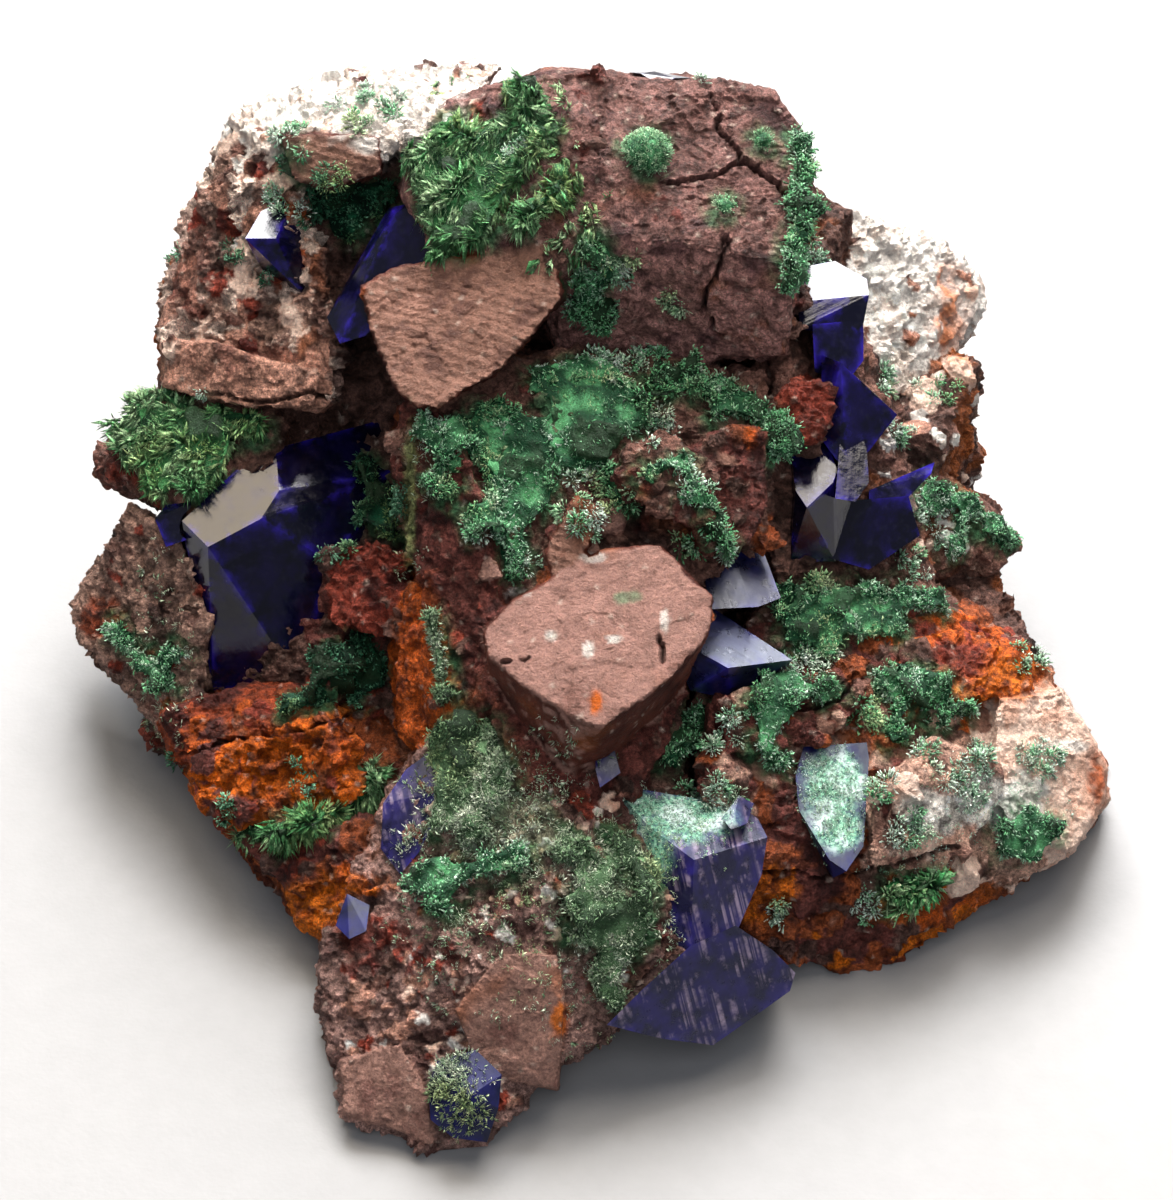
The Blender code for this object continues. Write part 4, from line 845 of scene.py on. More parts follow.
def chip(stain, place, normal, size, chance):
    """Small angular fragment half sunk in the stone."""
    reach = chance.uniform(0.7, 1.2, 3) * size / 2.0
    corners = chance.normal(size=(11, 3))
    corners /= np.linalg.norm(corners, axis=1)[:, None]
    turn = Vector(chance.normal(size=3)).to_track_quat("Z", "Y")
    middle = place - normal * size * 0.12
    return stain, hull([middle + turn @ Vector(corner * reach) for corner in corners])


def flake(stain, place, normal, size, chance):
    """Thin angular slab lying on the stone with a slight tilt."""
    turns = np.sort(chance.uniform(0.0, 2.0 * math.pi, 7))
    reach = chance.uniform(0.6, 1.0, 7) * size / 2.0
    slim = size * chance.uniform(0.10, 0.17)
    lean = Vector(normal) + Vector(chance.normal(scale=0.16, size=3))
    turn = lean.to_track_quat("Z", "Y")
    corners = []
    for rise, shrink in ((-slim, 1.0), (slim, 0.9)):
        for angle, span in zip(turns, reach * shrink):
            corners.append(place + turn @ Vector((math.cos(angle) * span, math.sin(angle) * span, rise)))
    return stain, hull(corners)


def seen_rubble(blocks, ends, tree, chance):
    """Fragments over the seen face, none on the clean stains."""
    eye = eye_point()
    pieces = []
    for shape, table in ((flake, FLAKES), (chip, RUBBLE)):
        for a, u, width, height, count, low, high, stains in table:
            for _ in range(count):
                spot = at(a + width * chance.uniform(-1, 1), u + height * chance.uniform(-1, 1), 0.0)
                hit, normal, face, _ = tree.ray_cast(eye, (spot - eye).normalized())
                size = low + (high - low) * chance.uniform() ** 2
                if hit is None or hit.z < 0.5:
                    continue
                if blocks[np.searchsorted(ends, face, "right")][0] not in CLEAN_STAINS:
                    pieces.append(shape(chance.choice(stains), hit, normal, size, chance))
    return pieces


def hidden_rubble(tree, chance):
    """Fragments strewn more thinly over the back and the sides, where the eye doesn't see."""
    eye = eye_point()
    pieces = []
    for number in range(HIDDEN_FLAKES + HIDDEN_RUBBLE):
        turn = chance.uniform(-HIDDEN_OVERLAP, math.pi + HIDDEN_OVERLAP)
        out = Vector((math.cos(turn), math.sin(turn), chance.uniform(-0.1, 1.0))).normalized()
        middle = Vector((chance.uniform(-28, 28), chance.uniform(-6, 22), chance.uniform(4, 45)))
        hit, normal, _, _ = tree.ray_cast(middle + out * 120.0, -out)
        if hit is not None and hit.z > 2.0 and normal.dot(eye) < 0.1 * eye.length:
            size = 1.0 + 3.0 * chance.uniform() ** 2
            stain = chance.choice(HIDDEN_STAINS)
            if number < HIDDEN_FLAKES:
                pieces.append(flake(stain, hit, normal, size + FLAKE_EXTRA, chance))
            else:
                pieces.append(chip(stain, hit, normal, size, chance))
    return pieces


def rubble(blocks, chance):
    """Fragments over the whole stone."""
    bm, ends = gathered(blocks)
    tree = BVHTree.FromBMesh(bm)
    bm.free()
    return seen_rubble(blocks, ends, tree, chance) + hidden_rubble(tree, chance)


def stone_skin():
    """Skin of the stone in millimetres with the stain number of each vertex."""
    blocks = stone_blocks()
    blocks += rubble(blocks, np.random.default_rng(5))
    mesh = fused(to_mesh(gathered(blocks)[0], "blocks"), ROCK_VOXEL)
    places = places_of(mesh)
    waver = np.stack([swell(places, 2.2, seed) for seed in (5, 6, 7)], axis=1)
    probe = places + BLEND_WAVER * waver
    best = np.full(len(places), FAR)
    owner = np.zeros(len(places), int)
    names = list(STAINS)
    for stain, block in blocks:
        corners = np.array([vert.co[:] for vert in block.verts])
        inside = (probe > corners.min(axis=0) - 1.0) & (probe < corners.max(axis=0) + 1.0)
        close = np.flatnonzero(inside.all(axis=1))
        height = depth_in(block, probe[close])
        closer = close[height < best[close]]
        best[closer] = height[height < best[close]]
        owner[closer] = names.index(stain)
        block.free()
    return mesh, owner


def groove_depth(face, broad, fine):
    """Depth of the cracks at each place."""
    seen = ramp(face[:, 2], -14.0, -11.0)
    bent = face[:, :2] + 0.35 * fine[:, None]
    groove = np.zeros(len(face))
    for width, depth, line in CRACKS:
        away = near_lines(bent, zip(line, line[1:]), FAR) + 0.08 * broad
        groove = np.maximum(groove, depth * (1.0 - ramp(away, width * 0.3, width)) * seen)
    return groove


def broken_height(places, owner, broad, fine):
    """Height of the lumps, grain, slabs, shards and crumbs, less the pits."""
    lump, grain, rough = np.array([row[3:] for row in STAINS.values()])[owner].T
    warp = places + WARP * np.stack([fine, broad, -fine], axis=1)
    _, _, slab = cells(warp, 4.2, 59)
    near, number, shard = cells(warp, 1.9, 61)
    crumb_near, _, crumb = cells(places, 0.85, 67)
    height = lump * broad + grain * fine
    height += rough * (1.6 * slab + 1.3 * shard + 0.9 * crumb + 0.4 * (0.45 - crumb_near))
    pit = (1.0 - ramp(near, 0.15, 0.55)) * (number > 0.72) * ramp(rough, 0.3, 0.7)
    return height - PIT_DEPTH * pit


def roughened(mesh, owner):
    """Gives the skin its broken relief, layers and cracks; returns the crack mask."""
    places = places_of(mesh)
    normals = normals_of(mesh)
    face = face_place(places)
    broad = fractal(places, 6.0, 3, 31)
    fine = fractal(places, 1.6, 3, 47)
    move = broken_height(places, owner, broad, fine)
    strata = np.sin((face[:, 1] + 0.30 * face[:, 0]) * STRATA_TURNS + 2.2 * fine)
    move += np.where(of_stain(owner, "tan"), STRATA_DEPTH * strata, 0.0)
    groove = groove_depth(face, broad, fine)
    move -= groove
    sawn = (places[:, 2] < 0.4) & (normals[:, 2] < -0.7)
    move = np.where(sawn, 0.0, move)
    drift = np.stack([fractal(places, 4.5, 2, seed) for seed in (211, 223, 227)], axis=1)
    sway = EDGE_WAVER * ramp(places[:, 2], 0.0, 3.0)
    sway = sway * np.where(of_stain(owner, *CLEAN_STAINS), 0.45, 1.0)
    moved = places + normals * move[:, None] + drift * sway[:, None]
    moved[:, 2] = np.maximum(moved[:, 2], 0.0)
    move_to(mesh, moved)
    return ramp(groove, 0.1, 0.5)


def stained(owner, face, cloud, fine):
    """The stains' own mottled colours with the patches laid over them."""
    rows = STAINS.values()
    ground = np.array([srgb(*row[0]) for row in rows])[owner]
    second = np.array([srgb(*row[1]) for row in rows])[owner]
    share = np.array([row[2] for row in rows])[owner]
    colours = mixed(ground, second, ramp(cloud + 0.35 * fine, 0.55 - share, 0.85 - share))
    seen = ramp(face[:, 2], -34.0, -30.0)
    for *patch, stain, strength in PATCHES:
        edge = patch_reach(face, *patch) + 0.45 * cloud + 0.25 * fine
        cover = (1.0 - ramp(edge, 0.55, 1.0)) * strength * seen
        main, other = (srgb(*tone) for tone in STAINS[stain][:2])
        colours = mixed(colours, mixed(main, other, ramp(fine, -0.2, 0.6)), cover)
    return colours


def sided(colours, owner, normals, cloud, fine):
    """Darker flanks on the slabs, and painted light brightening the dark block's front."""
    facing = normals @ FACE_OUT
    flank = of_stain(owner, *SLAB_STAINS) * (1.0 - ramp(facing + 0.12 * fine, 0.5, 0.68))
    tone = mixed(srgb(*SLAB_FLANK), srgb(*SLAB_FLANK_DARK), ramp(cloud, -0.3, 0.4))
    colours = mixed(colours, tone, flank)
    # Painted light: the dark block's faces that look down the face are brightened.
    front = of_stain(owner, "dark") * ramp(normals @ FACE_DOWN, 0.1, 0.4)
    return mixed(colours, np.minimum(colours * PAINTED_FRONT_LIGHT, 1.0), front)


def grained(colours, owner, places, fine):
    """Grains of uneven brightness with dark seams between them, and small pale specks as painted glints."""
    near, number, _ = cells(places + 0.15 * fine[:, None], 1.3, 97)
    uneven = np.where(of_stain(owner, *QUIET_STAINS), 0.25, 1.0)
    colours = colours * (1.0 + uneven * (0.75 * number - 0.36))[:, None]
    colours = mixed(colours, colours * SEAM_DARK, ramp(near, 0.55, 0.85) * uneven)
    # Painted highlight: small pale specks stand in for glints.
    near, number, _ = cells(places, 0.8, 103)
    rare = np.where(of_stain(owner, "dark"), 0.70, 0.85)
    painted_glint = (1.0 - ramp(near, 0.15, 0.35)) * (number > rare)
    return mixed(colours, srgb(*PAINTED_GLINT), 0.55 * painted_glint)


def weathered(colours, owner, places, depth, facing, cloud):
    """Dulls the white stone behind, and lays ochre and chalk over what lies deep behind the face."""
    behind = ramp(places[:, 1] + 4.0 * cloud, 27.0, 33.0) * (1.0 - ramp(facing, 0.0, 0.45))
    colours = mixed(colours, srgb(*OLD_WHITE), 0.85 * of_stain(owner, *WHITE_STAINS) * behind)
    back = ramp(depth, 22.0, 34.0)
    ochre = ramp(fractal(places, 8.0, 3, 113) + 0.2 * back, 0.4, 0.75) * (0.5 + 0.3 * back)
    colours = mixed(colours, srgb(*OCHRE_WASH), ochre * (colours.mean(axis=1) < 0.35))
    chalky = ramp(fractal(places, 6.0, 4, 127), 0.35, 0.7) * back * 0.6
    return mixed(colours, srgb(*CHALK_WASH), chalky)


def stone_colours(mesh, owner, crack, crusts):
    """Colour of every place on the stone, given its cracks, which get painted shade, and its gap to the
    crusts.
    """
    places = places_of(mesh)
    normals = normals_of(mesh)
    face = face_place(places)
    cloud = fractal(places, 3.4, 4, 71)
    fine = fractal(places, 0.9, 3, 83)
    colours = stained(owner, face, cloud, fine)
    colours = sided(colours, owner, normals, cloud, fine)
    colours = grained(colours, owner, places, fine)
    colours = weathered(colours, owner, places, -face[:, 2], normals @ FACE_OUT, cloud)
    film = (1.0 - ramp(crusts + 0.8 * fine, 0.2, 1.5)) * ramp(cloud + fine, -0.5, 0.3)
    colours = mixed(colours, srgb(*GREEN_FILM), 0.75 * film)
    # Painted shade: the cracks are darkened.
    return mixed(colours, srgb(*CRACK_PAINTED_SHADE), 0.8 * crack)


def gap_to(tree, places, reach):
    """Distance from each place to the surface held by the tree, reach where it is further."""
    gaps = np.full(len(places), reach)
    for index, place in enumerate(places):
        hit = tree.find_nearest(place, reach)
        if hit[0] is not None:
            gaps[index] = hit[3]
    return gaps


def stone_material():
    """Matt, finely granular stone coloured by its stains."""
    shader = Shader("stone", 0.86, Specular_IOR_Level=0.25)
    pigment = shader.attribute("pigment")
    grit = shader.noise(0.5, 6.0, 0.8)
    dust = shader.noise(0.18, 3.0, 0.75)
    dark = shader.blend(shader.spread(grit, 0.38, 0.60), (0.40, 0.37, 0.37), (1.45, 1.43, 1.40))
    share = shader.attribute("grain", "Fac")
    colour = shader.blend(share, pigment, dark, "MULTIPLY")
    light = shader.blend(shader.spread(dust, 0.35, 0.68), (0.62, 0.62, 0.62), (1.45, 1.45, 1.45))
    shader.feed("Base Color", shader.blend(share, colour, light, "MULTIPLY"))
    shader.feed("Roughness", shader.spread(grit, 0.3, 0.7, 0.55, 0.95))
    grain = shader.relief(shader.spots(0.38), 0.16, shader.relief(grit, 0.9))
    shader.feed("Normal", shader.relief(dust, 0.35, grain))
    return shader.material


def build_stone():
    """The matrix: one stone in its stains; returns a search tree of its surface."""
    mesh, owner = stone_skin()
    crack = roughened(mesh, owner)
    crusts = tree_of([NODES[node].data for node in NODES if node.startswith("malachite")])
    gaps = gap_to(crusts, places_of(mesh), 2.4)
    paint(mesh, "pigment", stone_colours(mesh, owner, crack, gaps))
    mark(mesh, "grain", np.array([GRAIN_SHARE.get(stain, 1.0) for stain in STAINS])[owner])
    hidden = (normals_of(mesh) @ np.array(eye_point() / eye_point().length)) < -0.1
    mesh = thinned(mesh, min(1.0, ROCK_TRIANGLES / (2.0 * len(mesh.polygons))), hidden)
    tree = BVHTree.FromPolygons(places_of(mesh).tolist(), triangles_of(mesh).tolist())
    piece_of("matrix_rock_skin", mesh, stone_material(), "gossan_matrix", "matrix_rock")
    return tree


# ---- malachite ----
class Habit:
    """How one kind of malachite grows: its nodules, its needles and its colours."""

    def __init__(self, spacing, needles, length, width, spread, lump, bulge, sink, colours,
                 lean=0.0, blunt=0.6, core=0.0):
        self.spacing = spacing      # area of skin for each tuft, square millimetres
        self.needles = needles      # needles in a tuft
        self.length = length        # shortest and longest, millimetres
        self.width = width          # widest radius, millimetres
        self.spread = spread        # how far needles lean from the tuft's axis
        self.lump = lump            # spacing of the nodules under the needles
        self.bulge = bulge          # height of the nodules
        self.sink = sink            # depth of the hollows between them below the solid's surface
        self.colours = colours      # root, dark tip and pale tip
        self.lean = lean            # pull of the needles down the face
        self.blunt = blunt          # where along its length a needle is widest
        self.core = core            # radius of a loose tuft's dense middle


HABITS = {
    "tuft": Habit(0.30, 8, (0.35, 0.9), 0.058, 1.05, 2.0, 1.25, 1.55,
                  ((18, 72, 44), (112, 196, 134), (238, 255, 242)), blunt=0.78),
    "rosette": Habit(2.3, 54, (0.45, 1.0), 0.070, 1.5, 1.5, 0.6, 0.9,
                     ((20, 76, 46), (114, 198, 136), (238, 255, 242)), blunt=0.82, core=0.36),
    "fur": Habit(0.26, 11, (0.8, 2.1), 0.023, 0.40, 2.6, 0.75, 1.35,
                 ((18, 62, 36), (92, 170, 104), (208, 242, 190)), lean=0.9, blunt=0.5),
    "felt": Habit(0.12, 9, (0.25, 0.85), 0.034, 1.0, 2.2, 0.9, 1.1,
                  ((52, 82, 54), (132, 176, 128), (240, 250, 228)), blunt=0.6),
    "film": Habit(0.1, 9, (0.14, 0.42), 0.034, 1.3, 0.8, 0.1, 0.1,
                  ((80, 144, 112), (132, 198, 162), (232, 248, 238)), blunt=0.7),
    "ball": Habit(0.05, 4, (0.30, 0.45), 0.034, 0.35, 0.7, 0.12, 0.42,
                  ((34, 94, 60), (108, 186, 128), (226, 250, 214)), blunt=0.8),
    # The next two are darker copies of tuft and rosette, painted shade for tufts in the hollows.
    "shade": Habit(0.30, 8, (0.35, 0.8), 0.058, 1.0, 1.9, 1.1, 1.4,
                   ((8, 34, 24), (38, 104, 72), (140, 206, 164)), blunt=0.78),
    "painted_shade_rosette": Habit(1.9, 38, (0.4, 0.85), 0.064, 1.4, 1.5, 0.6, 0.9,
                  ((10, 40, 28), (42, 110, 78), (140, 200, 162)), blunt=0.8, core=0.3),
    "fan": Habit(0.55, 16, (1.0, 2.4), 0.085, 0.55, 1.8, 0.6, 1.0,
                 ((18, 70, 40), (92, 190, 112), (228, 252, 212)), blunt=0.85, core=0.1),
}
WARM_TIP = (206, 226, 130)
# Near-black green of the sunken bare patches: painted shade.
BARE_PAINTED_SHADE = (22, 40, 24)
BARE_DEPTH = 0.8            # how far a worn crust lies below a whole one
CRUST_VOXEL = 0.28          # spacing of the rebuilt crust skins
FREE_ROOM = 0.9             # open space that a tuft on a crust looks out on
SEAT_DEPTH = 0.25           # how deep in the stone a tuft may still sit
ROOT_STRAY = 0.10           # how far the needles of a tuft start from one another
NEEDLE_BEND = 0.10          # bend of a needle, as a share of its length
WAIST_TONE = 0.7            # how far a needle's colour has gone to its tip's where it is widest
CLUMP = 6                   # loose tufts in a clump
CLUMP_WIDTH = 0.75          # how far they stray from its middle
FILM_ROOT = 0.05            # how deep films are rooted in a crystal, and
LOOSE_ROOT = 0.12           # loose tufts in the stone
DOWNHILL = np.array((0.0, -0.35, -1.0))

CRUST_HABITS = {
    "left_lawn": "fur", "shoulder": "fur", "groove": "fur", "shrub": "tuft",
    "mound": "felt", "lower_field": "felt", "septum": "felt",
    "ball_large": "ball", "ball_low": "ball", "ball_right": "ball",
    "left_hollow": "shade", "hollow_floor": "shade", "hollow_tufts": "shade",
    "sprays": "fan",
}

# Loose tufts in the face layout: place, half width, half height, how many, habit.
SPRINKLES = [
    (-19, 80.5, 4, 4, 18, "rosette"),
    (-28, 79, 3, 5, 19, "rosette"),
    (-24, 74, 4, 4, 18, "painted_shade_rosette"),
    (-32, 68, 3.5, 6, 18, "painted_shade_rosette"),
    (-6, 84, 5, 3, 50, "fur"),
    (-4, 80, 4, 3, 22, "rosette"),
    (-1, 74, 2.5, 6, 90, "fur"),
    (1.5, 66, 2, 5, 22, "rosette"),
    (14.5, 85, 4, 1, 6, "rosette"),
    (19.5, 74, 1, 7, 11, "rosette"),
    (7.5, 66.5, 1.8, 1.2, 5, "rosette"),
    (3, 60.5, 6, 1.6, 22, "rosette"),
    (-3, 47, 6, 8, 49, "rosette"),
    (6, 50, 6, 6, 36, "rosette"),
    (-14.5, 46, 1.2, 9, 30, "felt"),
    (-22, 42, 5, 7, 22, "painted_shade_rosette"),
    (-36, 55, 4, 4, 19, "rosette"),
    (-37, 35, 3, 8, 120, "felt"),
    (-28, 22, 8, 5, 18, "painted_shade_rosette"),
    (-6, 18, 8, 7, 420, "felt"),
    (-8, 22, 5, 5, 160, "felt"),
    (3, 13, 6, 5, 260, "felt"),
    (3, 6, 4, 4, 60, "felt"),
    (-14, 10, 6, 5, 120, "felt"),
    (12, 26, 5, 5, 27, "rosette"),
    (26, 29, 8, 4, 45, "rosette"),
    (24, 36, 8, 3, 31, "rosette"),
    (33, 22, 5, 3, 27, "rosette"),
    (36.5, 22, 4, 2.4, 120, "film"),
    (30, 19, 4, 2.4, 90, "film"),
    (40, 30, 3, 4, 18, "rosette"),
    (22, 14, 6, 4, 18, "rosette"),
    (29, 48, 4, 4, 27, "rosette"),
    (26, 58, 4, 3, 18, "rosette"),
    (-4, 3, 5, 5, 40, "felt"),
    (-10, -3, 3, 4, 30, "felt"),
]

# The pinkish slab, which stays clean: its place, half width and half height.
CLEAN_SLAB = (1, 37.5, 9, 7)

# Malachite on the crystals: place, half width, half height, how many, habit.
FILMS = [
    (21.8, 23, 2.6, 3, 420, "film"),
    (22.2, 19.6, 2.2, 1.8, 110, "film"),
    (8, 20.6, 5, 1.9, 380, "film"),
    (5.5, 17.5, 2, 3, 120, "film"),
    (-12.4, -2.2, 1.8, 3.6, 330, "felt"),
    (-10.5, -5, 2, 3, 60, "felt"),
    (-15, 20, 1.6, 4, 60, "felt"),
]


def needles(roots, ways, lengths, habit, chance):
    """Needles as arrays: each a slim wedge with a root, two shoulders where it is widest and a tip."""
    count = len(roots)
    side = np.cross(ways, chance.normal(size=(count, 3)))
    side /= np.linalg.norm(side, axis=1)[:, None] + 1e-9
    other = np.cross(ways, side)
    width = (habit.width * chance.uniform(0.8, 1.4, count))[:, None]
    bend = (side * chance.normal(scale=NEEDLE_BEND, size=(count, 1))) * lengths[:, None]
    middle = roots + ways * (lengths * habit.blunt)[:, None] + bend
    tips = roots + ways * lengths[:, None] - bend * 0.4
    back = other * width * 0.5
    rows = [roots, middle + side * width + back, middle - side * width + back, tips]
    places = np.stack(rows, axis=1).reshape(-1, 3)
    faces = np.array([(0, 2, 1), (3, 1, 2), (0, 1, 3), (0, 3, 2)])
    triangles = (faces[None] + 4 * np.arange(count)[:, None, None]).reshape(-1, 3)
    return places, triangles


def tufts(seats, axes, brightness_and_painted_light, habit, chance, flow=None):
    """Radiating tufts at seats along axes, with their colours: pale tips and bright roots where the given
    brightness is high, painted light on crust nodule tops, random tone on loose tufts.
    """
    count = len(seats)
    each = habit.needles
    total = count * each
    size = chance.uniform(0.65, 1.2, count)
    aim = np.repeat(axes, each, axis=0) + habit.spread * chance.normal(scale=0.6, size=(total, 3))
    if flow is not None:
        aim += habit.lean * np.repeat(flow, each, axis=0)
    aim /= np.linalg.norm(aim, axis=1)[:, None]
    lengths = chance.uniform(*habit.length, total) * np.repeat(size, each)
    roots = np.repeat(seats, each, axis=0) + chance.normal(scale=ROOT_STRAY, size=(total, 3))
    roots += aim * habit.core * np.repeat(size, each)[:, None]
    places, triangles = needles(roots, aim, lengths, habit, chance)
    root, dark, pale = (srgb(*tone) for tone in habit.colours)
    # Painted light and shade: tips paler and roots brighter where the brightness is high, which on crusts
    # follows the nodule tops.
    share = 0.12 + 1.0 * np.repeat(brightness_and_painted_light, each) + chance.uniform(-0.25, 0.4, total)
    share = np.clip(share, 0.0, 1.0) ** 1.4
    warm = np.repeat(ramp(fractal(seats, 5.0, 2, 151), 0.0, 0.7), each)
    tip = mixed(dark, mixed(pale, srgb(*WARM_TIP), 0.65 * warm), share)
    base = root * (0.5 + 0.9 * np.repeat(brightness_and_painted_light, each))[:, None]
    waist = mixed(base, tip, np.full(total, WAIST_TONE))
    tones = np.stack([base, waist, waist, tip], axis=1)
    return places, triangles, tones.reshape(-1, 3)


def stacked(parts):
    """Several (places, triangles, colours) as one."""
    start = 0
    places, triangles, tones = [], [], []
    for place, triangle, tone in parts:
        places.append(place)
        triangles.append(triangle + start)
        tones.append(tone)
        start += len(place)
    return np.concatenate(places), np.concatenate(triangles), np.concatenate(tones)


def scatter(places, triangles, brightness_and_painted_light, spacing, chance):
    """Random seats on a skin, one for each spacing of area, with the normal and the painted light there."""
    corners = places[triangles]
    cross = np.cross(corners[:, 1] - corners[:, 0], corners[:, 2] - corners[:, 0])
    area = np.linalg.norm(cross, axis=1) / 2.0
    count = max(3, int(area.sum() / spacing))
    pick = chance.choice(len(triangles), count, p=area / area.sum())
    first, second = chance.uniform(size=(2, count))
    swap = first + second > 1.0
    first = np.where(swap, 1.0 - first, first)
    second = np.where(swap, 1.0 - second, second)
    chosen = corners[pick]
    seats = chosen[:, 0] + (chosen[:, 1] - chosen[:, 0]) * first[:, None]
    seats += (chosen[:, 2] - chosen[:, 0]) * second[:, None]
    axes = cross[pick] / (2.0 * area[pick] + 1e-9)[:, None]
    return seats, axes, brightness_and_painted_light[triangles[pick]].mean(axis=1)


def in_the_open(seats, axes, stone):
    """Which seats look out on free space and are not inside the stone."""
    free = np.zeros(len(seats), bool)
    for index, (seat, axis) in enumerate(zip(seats, axes)):
        start = Vector(seat) + Vector(axis) * 0.02
        place, normal, _, _ = stone.find_nearest(start)
        if (start - place).dot(normal) > -SEAT_DEPTH:
            free[index] = stone.ray_cast(start, Vector(axis), FREE_ROOM)[0] is None
    return free


def downhill(axes):
    """Direction down the face at each normal."""
    return DOWNHILL - axes * (DOWNHILL * axes).sum(axis=1)[:, None]


def nodules(places, habit):
    """Rounded lumps under the needles: their height and a brightness, both from 0 to 1; the brightness is
    painted light, high on the dome tops and low in the hollows between.
    """
    swirl = fractal(places, 1.8, 2, 131)
    near, number, _ = cells(places + 0.3 * swirl[:, None], habit.lump, 137)
    small, _, _ = cells(places, 0.42 * habit.lump, 139)
    dome = np.clip(1.0 - (near / 0.8) ** 2, 0.0, 1.0)
    knob = np.clip(1.0 - (small / 0.8) ** 2, 0.0, 1.0)
    rise = 0.72 * dome * (0.5 + 0.5 * number) + 0.28 * knob
    return rise, np.clip(dome * (0.25 + 0.75 * number) + 0.25 * (knob - 0.5), 0.0, 1.0)


def bareness(places):
    """Where a crust is worn away, from 0 to 1."""
    return 1.0 - ramp(fractal(places, 3.2, 2, 163), -0.42, -0.20)


def needle_piece(name, parts, material, *replaced):
    """Malachite piece from its parts, each of places, triangles and colours."""
    places, triangles, tones = stacked(parts)
    mesh = mesh_from(name, places, triangles)
    paint(mesh, "pigment", tones)
    piece_of(name, mesh, material, "malachite", *replaced)


def crust(node, stone, material, chance):
    """One malachite crust: a nodular skin under its needles, worn away here and there, with painted shade
    on the skin and painted light on the nodule tops.
    """
    habit = HABITS[CRUST_HABITS.get(node.removeprefix("malachite_"), "tuft")]
    unworn = habit is HABITS["ball"]
    mesh = fused(to_mesh(solid_of(node), "crust"), CRUST_VOXEL)
    places = places_of(mesh)
    rise, brightness_and_painted_light = nodules(places, habit)
    bare = np.zeros(len(places)) if unworn else bareness(places)
    height = habit.bulge * rise - habit.sink - BARE_DEPTH * bare
    skin = places + normals_of(mesh) * height[:, None]
    move_to(mesh, skin)
    triangles = triangles_of(mesh)
    bpy.data.meshes.remove(mesh)
    seats, axes, painted_light_at_seats = scatter(skin, triangles, brightness_and_painted_light * (1.0 - bare), habit.spacing, chance)
    free = in_the_open(seats, axes, stone)
    free &= (chance.uniform(size=len(seats)) > 0.4 * bareness(seats)) | unworn
    seats, axes, painted_light_at_seats = seats[free], axes[free], painted_light_at_seats[free]
    root, dark = (srgb(*tone) for tone in habit.colours[:2])
    # Painted shade: the skin under the needles is darkened to half its colour, and darker still in the
    # hollows between nodules.
    tone = mixed(root * 0.5, dark * 0.5, ramp(brightness_and_painted_light, 0.1, 0.9))
    # Painted shade: the sunken bare patches turn near black green.
    tone = mixed(tone, srgb(*BARE_PAINTED_SHADE), 0.85 * bare)
    parts = [(skin, triangles, tone)]
    parts.append(tufts(seats, axes, painted_light_at_seats, habit, chance, downhill(axes)))
    needle_piece(node + "_needles", parts, material, node)


def seen_seats(tree, a, u, width, height, count, chance):
    """Clumped places and their normals on a surface behind a patch of the face layout."""
    eye = eye_point()
    seats, axes = [], []
    for number in range(count):
        if number % CLUMP == 0:
            middle = (a + width * chance.normal() * 0.6, u + height * chance.normal() * 0.6)
        offset = chance.normal(scale=CLUMP_WIDTH, size=2)
        spot = at(middle[0] + offset[0], middle[1] + offset[1], 0.0)
        hit, normal, _, _ = tree.ray_cast(eye, (spot - eye).normalized())
        if hit is not None:
            seats.append(hit)
            axes.append(normal)
    return np.array(seats).reshape(-1, 3), np.array(axes).reshape(-1, 3)


def loose_piece(name, kinds, stone, material, chance):
    """Tufts of some kinds scattered on the stone between the crusts."""
    parts = []
    for *patch, kind in SPRINKLES:
        if kind in kinds:
            seats, axes = seen_seats(stone, *patch, chance)
            off = patch_reach(face_place(seats), *CLEAN_SLAB) > 1.0
            seats, axes = seats[off], axes[off]
            brightness_and_painted_light = chance.uniform(0.0, 1.0, len(seats))
            parts.append(tufts(seats - axes * LOOSE_ROOT, axes, brightness_and_painted_light, HABITS[kind], chance, downhill(axes)))
    needle_piece(name, parts, material)


def crystal_films(crystals, material, chance):
    """Thin fuzz of malachite on the crystals that carry it."""
    parts = []
    for *patch, kind in FILMS:
        seats, axes = seen_seats(crystals, *patch, chance)
        brightness_and_painted_light = chance.uniform(0.2, 1.0, len(seats))
        parts.append(tufts(seats - axes * FILM_ROOT, axes, brightness_and_painted_light, HABITS[kind], chance))
    needle_piece("malachite_film", parts, material)


def malachite_material():
    """Silky fibrous green."""
    shader = Shader("malachite", 0.55, Specular_IOR_Level=0.35)
    pigment = shader.attribute("pigment")
    cloud = shader.noise(0.9, 3.0, 0.6)
    tone = shader.blend(shader.spread(cloud, 0.32, 0.68), (0.75, 0.84, 0.75), (1.50, 1.40, 1.45))
    colour = shader.blend(1.0, pigment, tone, "MULTIPLY")
    grain = shader.noise(0.16, 3.0, 0.65)
    speckle = shader.blend(shader.spread(grain, 0.36, 0.64), (0.62, 0.70, 0.62), (1.85, 1.75, 1.85))
    shader.feed("Base Color", shader.blend(1.0, colour, speckle, "MULTIPLY"))
    shader.feed("Roughness", shader.spread(grain, 0.3, 0.7, 0.42, 0.75))
    shader.feed("Normal", shader.relief(grain, 0.25))
    return shader.material


